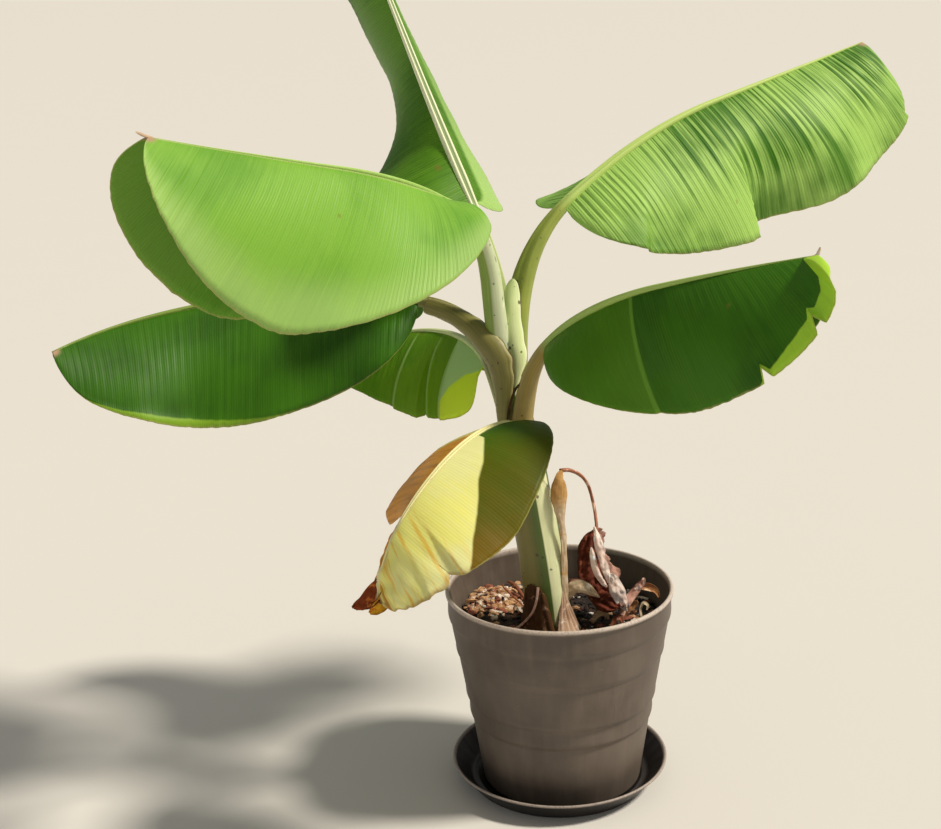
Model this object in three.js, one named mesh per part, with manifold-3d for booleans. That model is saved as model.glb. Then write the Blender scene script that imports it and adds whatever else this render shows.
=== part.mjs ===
// Potted banana plant: a short leaning stem with broad arching leaves, one yellow
// leaf and one withered leaf, growing in a round ribbed pot that stands in a saucer.
// Millimetres, Z up. The origin is the centre of the saucer's flat underside.
// The front of the plant faces -Y.
import * as THREE from "three";
import { mergeVertices } from "three/addons/utils/BufferGeometryUtils.js";
import Module from "manifold-3d";

const wasm = await Module();
wasm.setup();

// General
const CLEARANCE = 0.3; // gap between neighbouring solids
const LINE_STEPS = 120; // short steps that a centreline is made of
const ROUND_SIDES = 40; // facets round the pot, saucer and soil
const LIMB_SIDES = 10; // facets round the stem and the leaf stalks
const LIMB_STATIONS = 12; // rings along a stem or stalk, less one
const BLADE_STATIONS = 16; // cross sections along a leaf blade
const BLADE_STRIPS = 4; // strips from midrib to margin
const BLADE_THICKNESS = 6;
const BLADE_END = 0.008; // share of the midrib that is left bare at either end
const TEAR_MARGIN = 1.25; // stations nearer to a tear than this many gaps are dropped
const STALK_REACH = 1.5; // how far a stalk reaches past the start of its blade
const KEEL_DEPTH = 5; // extra depth of the midrib under the blade at its base
const STALK_CHANNEL = 0.3; // depth of the channel along a stalk, share of its radius

// Saucer
const SAUCER_LIP_RADIUS = 142;
const SAUCER_FOOT_RADIUS = 117;
const SAUCER_HEIGHT = 30;
const SAUCER_WALL = 3;
const SAUCER_FOOT_BEVEL = 3;
const SAUCER_LIP_STEP = 3; // how far the turned-over lip stands out from the side

// Pot: stands a little off the middle of its saucer
const POT_CENTRE_X = 3;
const POT_BOTTOM = SAUCER_WALL + CLEARANCE;
const POT_TOP = 268.4;
const POT_BOTTOM_RADIUS = 104;
const POT_WALL = 4;
const POT_FLOOR = 5;
const POT_RIM_RADIUS = 147;
const POT_BAND_RADIUS = 143.5;
const POT_BAND_BOTTOM = 231;
const POT_NECK_RADIUS = 141;
const POT_STEP = 1.5; // how far the wall steps in under each ring
const POT_STEP_HEIGHT = 1;
const POT_FOOT_BEVEL = 3;
const POT_LIP_HEIGHT = 5;
const POT_LIP_STEP = 3; // how far the lip stands out from the band under it
// Height and outer radius just above each ring step, from the lowest up
const POT_RINGS = [
  { height: 95, radius: 119 },
  { height: 122, radius: 123.5 },
  { height: 184, radius: 134.5 },
];

// Soil
const SOIL_TOP = 226;
const SOIL_EDGE_DROP = 3;
const SOIL_EDGE_WIDTH = 24; // width of the ring that slopes down to the pot

// Stem: leans to the left as it rises. Radii at even steps from soil to crown
const STEM_FOOT = [-9, -35];
const STEM_LENGTH = 352;
const STEM_HEADING = [180, 180, 178, 170];
const STEM_RISE = [86, 82, 81, 82];
const STEM_RADII = [30, 26, 25, 24.5, 23, 21, 15.5];

// Colours and roughness
const SOIL_COLOR = 0x1d1512;
const POT_COLOR = 0x4d443c;
const SAUCER_COLOR = 0x1c1a19;
const STEM_COLOR = 0x8aa64c;
const STALK_COLOR = 0x93a94e;
const DRY_STALK_COLOR = 0x9a6a4a;
const PLASTIC_ROUGHNESS = 0.55;
const WAXY_ROUGHNESS = 0.5;
const DRY_ROUGHNESS = 0.85;
const SOIL_ROUGHNESS = 1;

// Leaves. A leaf starts on the stem at root. Its stalk and then its midrib follow
// heading (degrees anticlockwise from +X, seen from above) and rise (degrees above
// level). The first three values belong to the stalk, the last three to the midrib.
// Each half of the blade leaves the midrib at the rib angle below level and ends at
// the edge angle; the angles run from base to tip. sweep turns the veins toward the
// tip. Tears are V cuts from the margin; wave is a ruffle that grows to the margin.
const LEAVES = [
  {
    name: "leaf_top",
    root: [-54, -24, 545],
    heading: [145, 142, 139, 134, 138],
    rise: [96, 78, 60, 60, 61],
    stalk: 213,
    stalkRadii: [11, 8, 6],
    length: 450,
    skew: 0.6,
    power: 2.35,
    sweep: [-12, 5, 22],
    left: {
      width: 168,
      rib: [0, 10, 70, 92, 88, 87, 81, 60],
      edge: [20, 70, 138, 146, 143, 139, 121, 90],
    },
    right: {
      width: 130,
      rib: [18, 27, 35, 38, 45],
      edge: [28, 42, 50, 53, 60],
      sweep: [6, 5, 22],
    },
    color: 0x6c9a35,
  },
  {
    name: "leaf_left_upper",
    root: [-58, -30, 545],
    heading: [221, 245, 247, 226, 222],
    rise: [81, 80, 27, 12, 14],
    stalk: 258,
    stalkRadii: [15, 13, 8],
    length: 435,
    skew: 0.88,
    power: 1.53,
    sweep: [7, 28, 38],
    left: { width: 202, rib: [2, 65, 47, 45], edge: [55, 99, 108, 61] },
    right: { width: 206, rib: [20, 54, 41, 14], edge: [50, 84, 84, 56] },
    color: 0x84b24c,
  },
  {
    name: "leaf_right_upper",
    root: [-46, -24, 545],
    heading: [75, 55, 31, 31, 39],
    rise: [96, 67, 38, 14, 12],
    stalk: 234,
    stalkRadii: [16, 12, 8],
    length: 523,
    skew: 1.06,
    power: 2.34,
    sweep: [-16, 5, 18],
    wave: { depth: 9, count: 3.5 },
    left: { width: 174, rib: [-2, 16, 25, 30], edge: [13, 51, 65, 60] },
    right: { width: 188, rib: [15, 42, 35, 33], edge: [52, 87, 86, 73] },
    color: 0x7fae4a,
  },
  {
    name: "leaf_left_lower",
    root: [-52, -42, 465],
    heading: [107, 137, 171, 194, 234],
    rise: [94, 54, 7, -4, -11],
    stalk: 246,
    stalkRadii: [17, 13, 9],
    length: 471,
    skew: 0.91,
    power: 1.87,
    sweep: [-11, 8, 26],
    wave: { depth: 5, count: 3 },
    left: { width: 172, rib: [19, 30, 31], edge: [72, 80, 61] },
    right: { width: 150, rib: [20, 35, 50], edge: [50, 75, 90], sweep: [-11, 0, -10] },
    color: 0x4b7a1c,
  },
  {
    name: "leaf_right_lower",
    root: [-40, -50, 470],
    heading: [296, 304, 306, 330, 331],
    rise: [87, 69, 42, 16, 13],
    stalk: 157,
    stalkRadii: [14, 12, 8],
    length: 366,
    skew: 1.23,
    power: 2.34,
    sweep: [0, 6, 26, 45],
    left: { width: 135, rib: [20, 30, 40], edge: [50, 70, 80], sweep: [-1, 0, 0] },
    right: {
      width: 151,
      rib: [20, 63, 40, 24],
      edge: [79, 107, 76, 51],
      tears: [
        { at: 0.69, depth: 0.09, gap: 0.018 },
        { at: 0.86, depth: 0.15, gap: 0.02 },
      ],
    },
    color: 0x3f6d12,
  },
  {
    name: "leaf_back",
    root: [-45, -22, 450],
    heading: [123, 112, 107, 146, 200],
    rise: [64, 43, 19, -10, -10],
    stalk: 147,
    stalkRadii: [12, 9, 6],
    length: 351,
    skew: 0.68,
    power: 1.5,
    sweep: [-45, 9, 22],
    left: {
      width: 127,
      rib: [49, 31, 28],
      edge: [97, 77, 70],
      tears: [
        { at: 0.1, depth: 0.6, gap: 0.02 },
        { at: 0.23, depth: 0.75, gap: 0.02 },
        { at: 0.38, depth: 0.6, gap: 0.02 },
      ],
    },
    right: { width: 125, rib: [20, 20, 20], edge: [50, 60, 60] },
    color: 0x5f9420,
  },
  {
    name: "leaf_yellow",
    root: [-40, -54, 462],
    heading: [280, 263, 245, 232, 195],
    rise: [75, 48, 18, -28, -86],
    stalk: 79,
    stalkRadii: [12, 9, 7],
    length: 324,
    skew: 1.03,
    power: 1.64,
    sweep: [-28, 8, 10],
    left: {
      width: 119,
      rib: [-28, 14, 16],
      edge: [2, 43, 31],
      tears: [{ at: 0.72, depth: 0.25, gap: 0.03 }],
    },
    right: { width: 131, rib: [11, 27, 32, 10], edge: [21, 42, 47, -10] },
    color: 0xe2cf4a,
  },
  {
    name: "leaf_withered",
    root: [8, -32, 434],
    heading: [41, -3, -36, -46, -51],
    rise: [1, -75, -87, -65, -46],
    stalk: 107,
    stalkRadii: [5, 4, 3.5],
    length: 103,
    skew: 1.08,
    power: 2.36,
    sweep: [1, 15, 19],
    thickness: 3,
    keel: 1,
    wave: { depth: 5, count: 2.5 },
    left: { width: 44, rib: [19, 17, 19], edge: [58, 57, 39] },
    right: { width: 35, rib: [21, 20, 20], edge: [61, 60, 40] },
    color: 0x7c3a22,
    dry: true,
  },
];

// Flaps of dry sheath: small blades without a stalk, all their values belong to the
// middle line
const FLAP_THICKNESS = 2;
const FLAP_KEEL = 0.5;
const FLAP_STATIONS = 10;
const FLAP_STRIPS = 2;
const FLAPS = [
  {
    name: "sheath_dry",
    root: [17, -48, 266],
    heading: [180, 180, 190],
    rise: [88, 86, 88],
    length: 168,
    skew: 2.2,
    power: 2,
    sweep: [40, 20, 10],
    left: { width: 14, rib: [10, 10, 10], edge: [30, 40, 60] },
    right: { width: 13, rib: [10, 10, 10], edge: [30, 40, 60] },
    color: 0xb08347,
  },
  {
    name: "sheath_curl",
    root: [17, -44, 268],
    heading: [0, 0, 0],
    rise: [60, 5, -45, -50],
    length: 46,
    skew: 0.8,
    power: 2.4,
    sweep: [0, 10, 20],
    left: { width: 9, rib: [20, 20], edge: [50, 50] },
    right: { width: 11, rib: [30, 30], edge: [60, 60] },
    color: 0xc3aa88,
  },
];

// Dry sheaths: thin shells that wrap the stem. from and to are heights, turn is the
// compass position of the middle and reach its spread in degrees, both from bottom
// to top; stand is the distance from the stem's surface
const SHEATH_THICKNESS = 3;
const SHEATH_STEPS = 10;
const SHEATH_COLUMNS = 6;
const SHEATHS = [
  {
    name: "sheath_foot",
    from: 226.3,
    to: 272,
    turn: [-42, -40, -38],
    reach: [74, 52, 30],
    stand: [7, 2, 0],
    color: 0xb59a72,
  },
  {
    name: "sheath_withered",
    from: 226.3,
    to: 277,
    turn: [-118, -112, -100],
    reach: [96, 74, 24],
    stand: [12, 7, 1],
    color: 0x4e2f20,
  },
];

const rad = (degrees) => (degrees * Math.PI) / 180;

// Value at t (0 to 1) of a list of values at even steps
function along(values, t) {
  const x = Math.min(Math.max(t, 0), 1) * (values.length - 1);
  const i = Math.min(Math.floor(x), values.length - 2);
  return values[i] + (values[i + 1] - values[i]) * (x - i);
}

// Direction, left side and top side of a line with this heading and rise
function frameOf(heading, rise) {
  const a = rad(heading);
  const e = rad(rise);
  return {
    forward: new THREE.Vector3(Math.cos(e) * Math.cos(a), Math.cos(e) * Math.sin(a), Math.sin(e)),
    left: new THREE.Vector3(-Math.sin(a), Math.cos(a), 0),
    top: new THREE.Vector3(-Math.sin(e) * Math.cos(a), -Math.sin(e) * Math.sin(a), Math.cos(e)),
  };
}

// Centreline of a limb as many short steps, each with its own frame
function centreline(start, heading, rise, length) {
  const line = [];
  const point = start.clone();
  for (let i = 0; i <= LINE_STEPS; i++) {
    const t = i / LINE_STEPS;
    line.push({ point: point.clone(), ...frameOf(along(heading, t), along(rise, t)) });
    const half = (i + 0.5) / LINE_STEPS;
    const middle = frameOf(along(heading, half), along(rise, half));
    point.addScaledVector(middle.forward, length / LINE_STEPS);
  }
  return line;
}

// Place on a centreline at t (0 to 1)
function placeAt(line, t) {
  const x = Math.min(Math.max(t, 0), 1) * (line.length - 1);
  const i = Math.min(Math.floor(x), line.length - 2);
  const mix = (key) => line[i][key].clone().lerp(line[i + 1][key], x - i);
  return {
    point: mix("point"),
    forward: mix("forward").normalize(),
    left: mix("left").normalize(),
    top: mix("top").normalize(),
  };
}

// Closed solid through a list of rings with the same number of points
function loft(rings) {
  const count = rings[0].length;
  const vertices = rings.flat().flatMap((p) => [p.x, p.y, p.z]);
  const triangles = [];
  for (let r = 0; r < rings.length - 1; r++) {
    for (let k = 0; k < count; k++) {
      const a = r * count + k;
      const b = r * count + ((k + 1) % count);
      triangles.push(a, b, b + count, a, b + count, a + count);
    }
  }
  return { vertices, triangles, count };
}

// Six times the volume inside a closed surface: negative when its faces point inward
function signedVolume(vertices, triangles) {
  const corner = (i) => new THREE.Vector3(...vertices.slice(3 * i, 3 * i + 3));
  let sum = 0;
  for (let k = 0; k < triangles.length; k += 3) {
    const [a, b, c] = [0, 1, 2].map((n) => corner(triangles[k + n]));
    sum += a.dot(b.cross(c));
  }
  return sum;
}

// Closed solid with its faces pointing out
function toManifold(vertices, triangles) {
  const outward = [...triangles];
  if (signedVolume(vertices, triangles) < 0) outward.reverse();
  return new wasm.Manifold(
    new wasm.Mesh({
      numProp: 3,
      vertProperties: new Float32Array(vertices),
      triVerts: new Uint32Array(outward),
    })
  );
}

// Round limb with a shallow channel along its top side, that runs on past its line's end
function limb(line, radii, channel, beyond, grow) {
  const rings = [];
  for (let i = 0; i <= LIMB_STATIONS; i++) {
    const t = i / LIMB_STATIONS;
    const at = placeAt(line, t);
    const radius = along(radii, t) + grow;
    const middle = at.point.clone();
    if (i === 0) middle.addScaledVector(at.forward, -grow);
    if (i === LIMB_STATIONS) middle.addScaledVector(at.forward, beyond + grow);
    const ring = [];
    for (let k = 0; k < LIMB_SIDES; k++) {
      const angle = (k / LIMB_SIDES) * Math.PI * 2;
      const dip = 1 - channel * Math.max(0, Math.sin(angle)) ** 4;
      ring.push(
        middle
          .clone()
          .addScaledVector(at.left, Math.cos(angle) * radius * dip)
          .addScaledVector(at.top, Math.sin(angle) * radius * dip)
      );
    }
    rings.push(ring);
  }
  const { vertices, triangles, count } = loft(rings);
  const last = (rings.length - 1) * count;
  for (let k = 1; k < count - 1; k++) {
    triangles.push(0, k + 1, k);
    triangles.push(last, last + k, last + k + 1);
  }
  return toManifold(vertices, triangles);
}

// Half width of a blade at t, with V cuts where the half is torn
function halfWidth(leaf, half, t) {
  const s = t ** leaf.skew;
  const full = half.width * Math.max(0, 1 - Math.abs(2 * s - 1) ** leaf.power) ** (1 / leaf.power);
  let cut = 0;
  for (const tear of half.tears ?? []) {
    cut = Math.max(cut, tear.depth * (1 - Math.abs(t - tear.at) / tear.gap));
  }
  return full * (1 - cut);
}

// Stations along a blade: closer together at both ends, with extra ones at tears in
// place of those nearby
function bladeStations(leaf) {
  const list = [];
  const stations = leaf.stations ?? BLADE_STATIONS;
  for (let i = 0; i <= stations; i++) {
    const even = (1 - Math.cos((Math.PI * i) / stations)) / 2;
    list.push(BLADE_END + (1 - 2 * BLADE_END) * even);
  }
  for (const tear of [...(leaf.left.tears ?? []), ...(leaf.right.tears ?? [])]) {
    const far = list.filter((t) => Math.abs(t - tear.at) > tear.gap * TEAR_MARGIN);
    list.length = 0;
    list.push(...far, tear.at - tear.gap, tear.at, tear.at + tear.gap);
  }
  return list.sort((a, b) => a - b);
}

// Middle surface of a blade: one row of points per station, left margin to right
function bladeSurface(leaf, line, grow) {
  const strips = leaf.strips ?? BLADE_STRIPS;
  return bladeStations(leaf).map((t) => {
    const at = placeAt(line, t);
    at.point.addScaledVector(at.forward, grow * (2 * t - 1));
    const sides = [leaf.left, leaf.right].map((half, index) => {
      const side = index === 0 ? 1 : -1;
      const width = halfWidth(leaf, half, t) + grow;
      const sweep = rad(along(half.sweep ?? leaf.sweep, t));
      const ruffle = leaf.wave ? leaf.wave.depth * Math.sin(2 * Math.PI * leaf.wave.count * t) : 0;
      const point = at.point.clone();
      const points = [];
      for (let j = 0; j < strips; j++) {
        const u = (j + 0.5) / strips;
        const rib = along(half.rib, t);
        const angle = rad(rib + (along(half.edge, t) - rib) * u);
        const out = at.left.clone().multiplyScalar(side * Math.cos(angle));
        out.addScaledVector(at.top, -Math.sin(angle)).multiplyScalar(Math.cos(sweep));
        out.addScaledVector(at.forward, Math.sin(sweep));
        point.addScaledVector(out, width / strips);
        const lift = at.top.clone().multiplyScalar(Math.cos(angle));
        lift.addScaledVector(at.left, side * Math.sin(angle));
        points.push(point.clone().addScaledVector(lift, ruffle * ((j + 1) / strips) ** 2));
      }
      return points;
    });
    return [...sides[0].reverse(), at.point.clone(), ...sides[1]];
  });
}

// Blade solid: the middle surface thickened both ways, with the midrib as a keel
function blade(leaf, line, grow) {
  const rows = bladeSurface(leaf, line, grow);
  const half = (leaf.thickness ?? BLADE_THICKNESS) / 2 + grow;
  const rings = rows.map((row, r) => {
    const before = rows[Math.max(r - 1, 0)];
    const after = rows[Math.min(r + 1, rows.length - 1)];
    const upper = [];
    const lower = [];
    row.forEach((point, k) => {
      const lengthwise = after[k].clone().sub(before[k]);
      const across = row[Math.min(k + 1, row.length - 1)].clone().sub(row[Math.max(k - 1, 0)]);
      const normal = across.cross(lengthwise).normalize();
      const keel = k === (row.length - 1) / 2 ? (leaf.keel ?? KEEL_DEPTH) * (1 - r / (rows.length - 1)) : 0;
      upper.push(point.clone().addScaledVector(normal, half));
      lower.push(point.clone().addScaledVector(normal, -half - keel));
    });
    return [...upper, ...lower.reverse()];
  });
  const { vertices, triangles, count } = loft(rings);
  const last = (rings.length - 1) * count;
  for (let k = 0; k < count / 2 - 1; k++) {
    const a = k;
    const b = k + 1;
    const c = count - 2 - k;
    const d = count - 1 - k;
    triangles.push(a, c, b, a, d, c);
    triangles.push(last + a, last + b, last + c, last + a, last + c, last + d);
  }
  return toManifold(vertices, triangles);
}

// Thin shell that follows the stem's surface between two heights
function sheath(spec, stemLine, grow) {
  const bottom = stemLine[0].point.z;
  const top = stemLine[stemLine.length - 1].point.z;
  const rings = [];
  for (let i = 0; i <= SHEATH_STEPS; i++) {
    const t = i / SHEATH_STEPS;
    const height = spec.from - grow + (spec.to - spec.from + 2 * grow) * t;
    const s = (height - bottom) / (top - bottom);
    const at = placeAt(stemLine, s);
    const inner = along(STEM_RADII, s) + CLEARANCE + along(spec.stand, t) - grow;
    const outer = inner + SHEATH_THICKNESS + 2 * grow;
    const spread = along(spec.reach, t) + (2 * grow) / inner / rad(1);
    const arc = (radius, k) => {
      const angle = rad(along(spec.turn, t) + spread * (k / SHEATH_COLUMNS - 0.5));
      const out = new THREE.Vector3(Math.cos(angle), Math.sin(angle), 0);
      return at.point.clone().setZ(height).addScaledVector(out, radius);
    };
    const ring = [];
    for (let k = 0; k <= SHEATH_COLUMNS; k++) ring.push(arc(outer, k));
    for (let k = SHEATH_COLUMNS; k >= 0; k--) ring.push(arc(inner, k));
    rings.push(ring);
  }
  const { vertices, triangles, count } = loft(rings);
  const last = SHEATH_STEPS * count;
  for (let k = 0; k < SHEATH_COLUMNS; k++) {
    const a = k;
    const b = k + 1;
    const c = count - 2 - k;
    const d = count - 1 - k;
    triangles.push(a, c, b, a, d, c);
    triangles.push(last + a, last + b, last + c, last + a, last + c, last + d);
  }
  return toManifold(vertices, triangles);
}

// Solid of revolution about an upright axis at x, from a closed [radius, height] profile
function revolve(profile, x) {
  const points = profile.map(([r, z]) => new THREE.Vector2(r, z));
  const geometry = new THREE.LatheGeometry(points, ROUND_SIDES);
  geometry.rotateX(Math.PI / 2);
  geometry.translate(x, 0, 0);
  geometry.deleteAttribute("uv");
  geometry.deleteAttribute("normal");
  const merged = mergeVertices(geometry, 1e-4);
  return toManifold(merged.attributes.position.array, merged.index.array);
}

function saucerProfile() {
  const inner = SAUCER_LIP_RADIUS - SAUCER_WALL;
  return [
    [0, 0],
    [SAUCER_FOOT_RADIUS, 0],
    [SAUCER_FOOT_RADIUS + SAUCER_FOOT_BEVEL, SAUCER_FOOT_BEVEL],
    [SAUCER_LIP_RADIUS - SAUCER_LIP_STEP, SAUCER_HEIGHT - SAUCER_LIP_STEP - 1],
    [SAUCER_LIP_RADIUS, SAUCER_HEIGHT - SAUCER_LIP_STEP],
    [SAUCER_LIP_RADIUS, SAUCER_HEIGHT],
    [inner, SAUCER_HEIGHT],
    [SAUCER_FOOT_RADIUS - 1, SAUCER_WALL],
    [0, SAUCER_WALL],
  ];
}

function potProfile() {
  const outer = [
    [0, POT_BOTTOM],
    [POT_BOTTOM_RADIUS - POT_FOOT_BEVEL, POT_BOTTOM],
    [POT_BOTTOM_RADIUS, POT_BOTTOM + POT_FOOT_BEVEL],
  ];
  for (const ring of POT_RINGS) {
    outer.push([ring.radius - POT_STEP, ring.height - POT_STEP_HEIGHT]);
    outer.push([ring.radius, ring.height]);
  }
  outer.push(
    [POT_NECK_RADIUS, POT_BAND_BOTTOM - POT_STEP_HEIGHT],
    [POT_BAND_RADIUS, POT_BAND_BOTTOM],
    [POT_RIM_RADIUS - POT_LIP_STEP, POT_TOP - POT_LIP_HEIGHT - POT_LIP_STEP],
    [POT_RIM_RADIUS, POT_TOP - POT_LIP_HEIGHT],
    [POT_RIM_RADIUS, POT_TOP - POT_STEP_HEIGHT],
    [POT_RIM_RADIUS - POT_STEP_HEIGHT, POT_TOP]
  );
  return [...outer, ...potInside(POT_TOP, 0).reverse(), [0, POT_BOTTOM + POT_FLOOR]];
}

// Inner wall of the pot, drawn in by shrink, from its floor to the given height
function potInside(top, shrink) {
  const floor = POT_BOTTOM + POT_FLOOR;
  const low = POT_BOTTOM_RADIUS - POT_WALL;
  const high = POT_BAND_RADIUS - POT_WALL - POT_STEP;
  const radiusAt = (z) => low + ((high - low) * (z - floor)) / (POT_TOP - floor);
  return [
    [low - shrink, floor + shrink],
    [radiusAt(top) - shrink, top],
  ];
}

function soilProfile() {
  const [foot, edge] = potInside(SOIL_TOP - SOIL_EDGE_DROP, CLEARANCE);
  return [[0, foot[1]], foot, edge, [edge[0] - SOIL_EDGE_WIDTH, SOIL_TOP], [0, SOIL_TOP]];
}

// Builders in the order in which they are fitted together: each one gives way to
// the solids before it
function pieces() {
  const stemStart = new THREE.Vector3(STEM_FOOT[0], STEM_FOOT[1], SOIL_TOP + CLEARANCE);
  const stemLine = centreline(stemStart, STEM_HEADING, STEM_RISE, STEM_LENGTH);
  const cut = stemLine[0]; // the foot is cut level at the soil
  cut.forward.set(0, 0, 1);
  cut.top.crossVectors(cut.forward, cut.left);
  const list = [
    {
      name: "saucer",
      color: SAUCER_COLOR,
      roughness: PLASTIC_ROUGHNESS,
      fixed: true,
      make: () => revolve(saucerProfile(), 0),
    },
    {
      name: "pot",
      color: POT_COLOR,
      roughness: PLASTIC_ROUGHNESS,
      fixed: true,
      make: () => revolve(potProfile(), POT_CENTRE_X),
    },
    {
      name: "soil",
      color: SOIL_COLOR,
      roughness: SOIL_ROUGHNESS,
      fixed: true,
      make: () => revolve(soilProfile(), POT_CENTRE_X),
    },
    {
      name: "stem",
      color: STEM_COLOR,
      roughness: WAXY_ROUGHNESS,
      make: (grow) => limb(stemLine, STEM_RADII, 0, 0, grow),
    },
  ];
  const stalks = [];
  const blades = [];
  for (const leaf of LEAVES) {
    const start = new THREE.Vector3(...leaf.root);
    const stalk = centreline(start, leaf.heading.slice(0, 3), leaf.rise.slice(0, 3), leaf.stalk);
    const base = stalk[stalk.length - 1].point;
    const midrib = centreline(base, leaf.heading.slice(2), leaf.rise.slice(2), leaf.length);
    const reach = BLADE_END * leaf.length + STALK_REACH;
    const roughness = leaf.dry ? DRY_ROUGHNESS : WAXY_ROUGHNESS;
    stalks.push({
      name: `${leaf.name}_stalk`,
      color: leaf.dry ? DRY_STALK_COLOR : STALK_COLOR,
      roughness,
      make: (grow) => limb(stalk, leaf.stalkRadii, STALK_CHANNEL, reach, grow),
    });
    blades.push({
      name: `${leaf.name}_blade`,
      color: leaf.color,
      roughness,
      make: (grow) => blade(leaf, midrib, grow),
    });
  }
  const sheaths = SHEATHS.map((spec) => ({
    name: spec.name,
    color: spec.color,
    roughness: DRY_ROUGHNESS,
    make: (grow) => sheath(spec, stemLine, grow),
  }));
  const flaps = FLAPS.map((flap) => {
    const start = new THREE.Vector3(...flap.root);
    const line = centreline(start, flap.heading, flap.rise, flap.length);
    const leaf = {
      ...flap,
      thickness: FLAP_THICKNESS,
      keel: FLAP_KEEL,
      stations: FLAP_STATIONS,
      strips: FLAP_STRIPS,
    };
    return {
      name: flap.name,
      color: flap.color,
      roughness: DRY_ROUGHNESS,
      make: (grow) => blade(leaf, line, grow),
    };
  });
  return [...list, ...stalks, ...sheaths, ...flaps, ...blades];
}

function boxesMeet(a, b) {
  return [0, 1, 2].every((i) => a.min[i] <= b.max[i] && b.min[i] <= a.max[i]);
}

// Largest connected part of a solid
function largest(solid) {
  const parts = solid.decompose();
  return parts.reduce((best, part) => (part.volume() > best.volume() ? part : best));
}

function toMesh({ name, color, roughness }, solid) {
  const mesh = solid.getMesh();
  const geometry = new THREE.BufferGeometry();
  geometry.setAttribute("position", new THREE.BufferAttribute(mesh.vertProperties, 3));
  geometry.setIndex(new THREE.BufferAttribute(mesh.triVerts, 1));
  geometry.computeVertexNormals();
  const material = new THREE.MeshStandardMaterial({ color, roughness, metalness: 0 });
  const object = new THREE.Mesh(geometry, material);
  object.name = name;
  return object;
}

const plant = new THREE.Group();
plant.name = "potted_banana_plant";
const placed = [];
for (const piece of pieces()) {
  let solid = piece.make(0);
  if (!piece.fixed) {
    for (const other of placed) {
      if (!boxesMeet(solid.boundingBox(), other.outer.boundingBox())) continue;
      solid = solid.subtract(other.outer);
    }
    solid = largest(solid);
  }
  placed.push({ outer: piece.fixed ? solid : piece.make(CLEARANCE) });
  plant.add(toMesh(piece, solid));
}

export default plant;
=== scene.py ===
"""Potted banana plant: stem, leaf stalks, blades, dry sheaths, soil, pot and saucer."""

import math
import random

import bmesh
import bpy
from bpy.props import FloatProperty, FloatVectorProperty, IntProperty, PointerProperty
from mathutils import Matrix, Vector, noise


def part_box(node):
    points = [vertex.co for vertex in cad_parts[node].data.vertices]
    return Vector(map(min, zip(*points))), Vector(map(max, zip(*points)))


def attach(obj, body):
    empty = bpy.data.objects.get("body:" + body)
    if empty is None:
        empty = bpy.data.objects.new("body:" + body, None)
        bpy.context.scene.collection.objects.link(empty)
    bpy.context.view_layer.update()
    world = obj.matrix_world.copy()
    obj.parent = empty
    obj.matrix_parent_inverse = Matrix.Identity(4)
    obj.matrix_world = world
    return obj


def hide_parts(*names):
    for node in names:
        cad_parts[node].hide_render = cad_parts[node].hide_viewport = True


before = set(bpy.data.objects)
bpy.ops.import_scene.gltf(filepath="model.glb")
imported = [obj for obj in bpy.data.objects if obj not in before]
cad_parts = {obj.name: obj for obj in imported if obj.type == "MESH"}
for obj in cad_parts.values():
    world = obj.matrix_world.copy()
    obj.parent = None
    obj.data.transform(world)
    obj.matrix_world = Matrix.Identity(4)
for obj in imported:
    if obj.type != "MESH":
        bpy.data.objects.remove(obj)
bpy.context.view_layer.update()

bl_info = {
    "name": "Potted banana plant", "version": (1, 0, 0), "blender": (4, 5, 0),
    "location": "View3D > Sidebar > Plant",
    "description": "A young banana plant in a round ribbed pot on its saucer",
    "category": "Add Mesh",
}

MM = 0.001
TURN = 2 * math.pi

UNDOABLE = {"REGISTER", "UNDO"}
LINE_STEPS = 120  # points on a limb's centreline
EASE = 0.08  # share of a line over which eased() averages to each side
POT_X = 3  # the pot's axis, millimetres right of the saucer's
SOIL_TOP = 225.5  # height of the soil's surface
SOIL_REACH = 127  # how far out from the pot's axis the chips lie
CHIP_TILT = 0.5  # steepest tilt of a chip, radians
STRIP_WALL = 0.7  # thickness of a dry strip or withered blade, millimetres
SINK = 70  # how far a stalk's root runs down inside the stem, millimetres
SOLID = 0.55  # share of a half's width, from the midrib, that no notch moves


def paint(code):
    """Linear colour of a hex paint code."""
    parts = [int(code[i : i + 2], 16) / 255 for i in (0, 2, 4)]
    return tuple(
        p / 12.92 if p <= 0.04045 else ((p + 0.055) / 1.055) ** 2.4 for p in parts
    ) + (1.0,)


# ---------------------------------------------------------------- sizes of the plant

# Stem: axis from the soil up, leaning left. Radii at even steps, millimetres
STEM = {
    "start": (-9, -35, 226.3), "length": 352, "heading": [180, 180, 178, 170],
    "rise": [86, 82, 81, 82], "radii": [30, 26, 25, 24.5, 23, 21, 15.5],
}

# Outer sheaths that wrap the stem and open upward. turn is the side they open away
# from, low and high the heights between which they open, step their thickness
WRAPS = [
    {"turn": 300, "low": 396, "high": 476, "step": 2.0},
    {"turn": 125, "low": 384, "high": 470, "step": 1.8},
    {"turn": 150, "low": 440, "high": 560, "step": 1.2},
]

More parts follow.
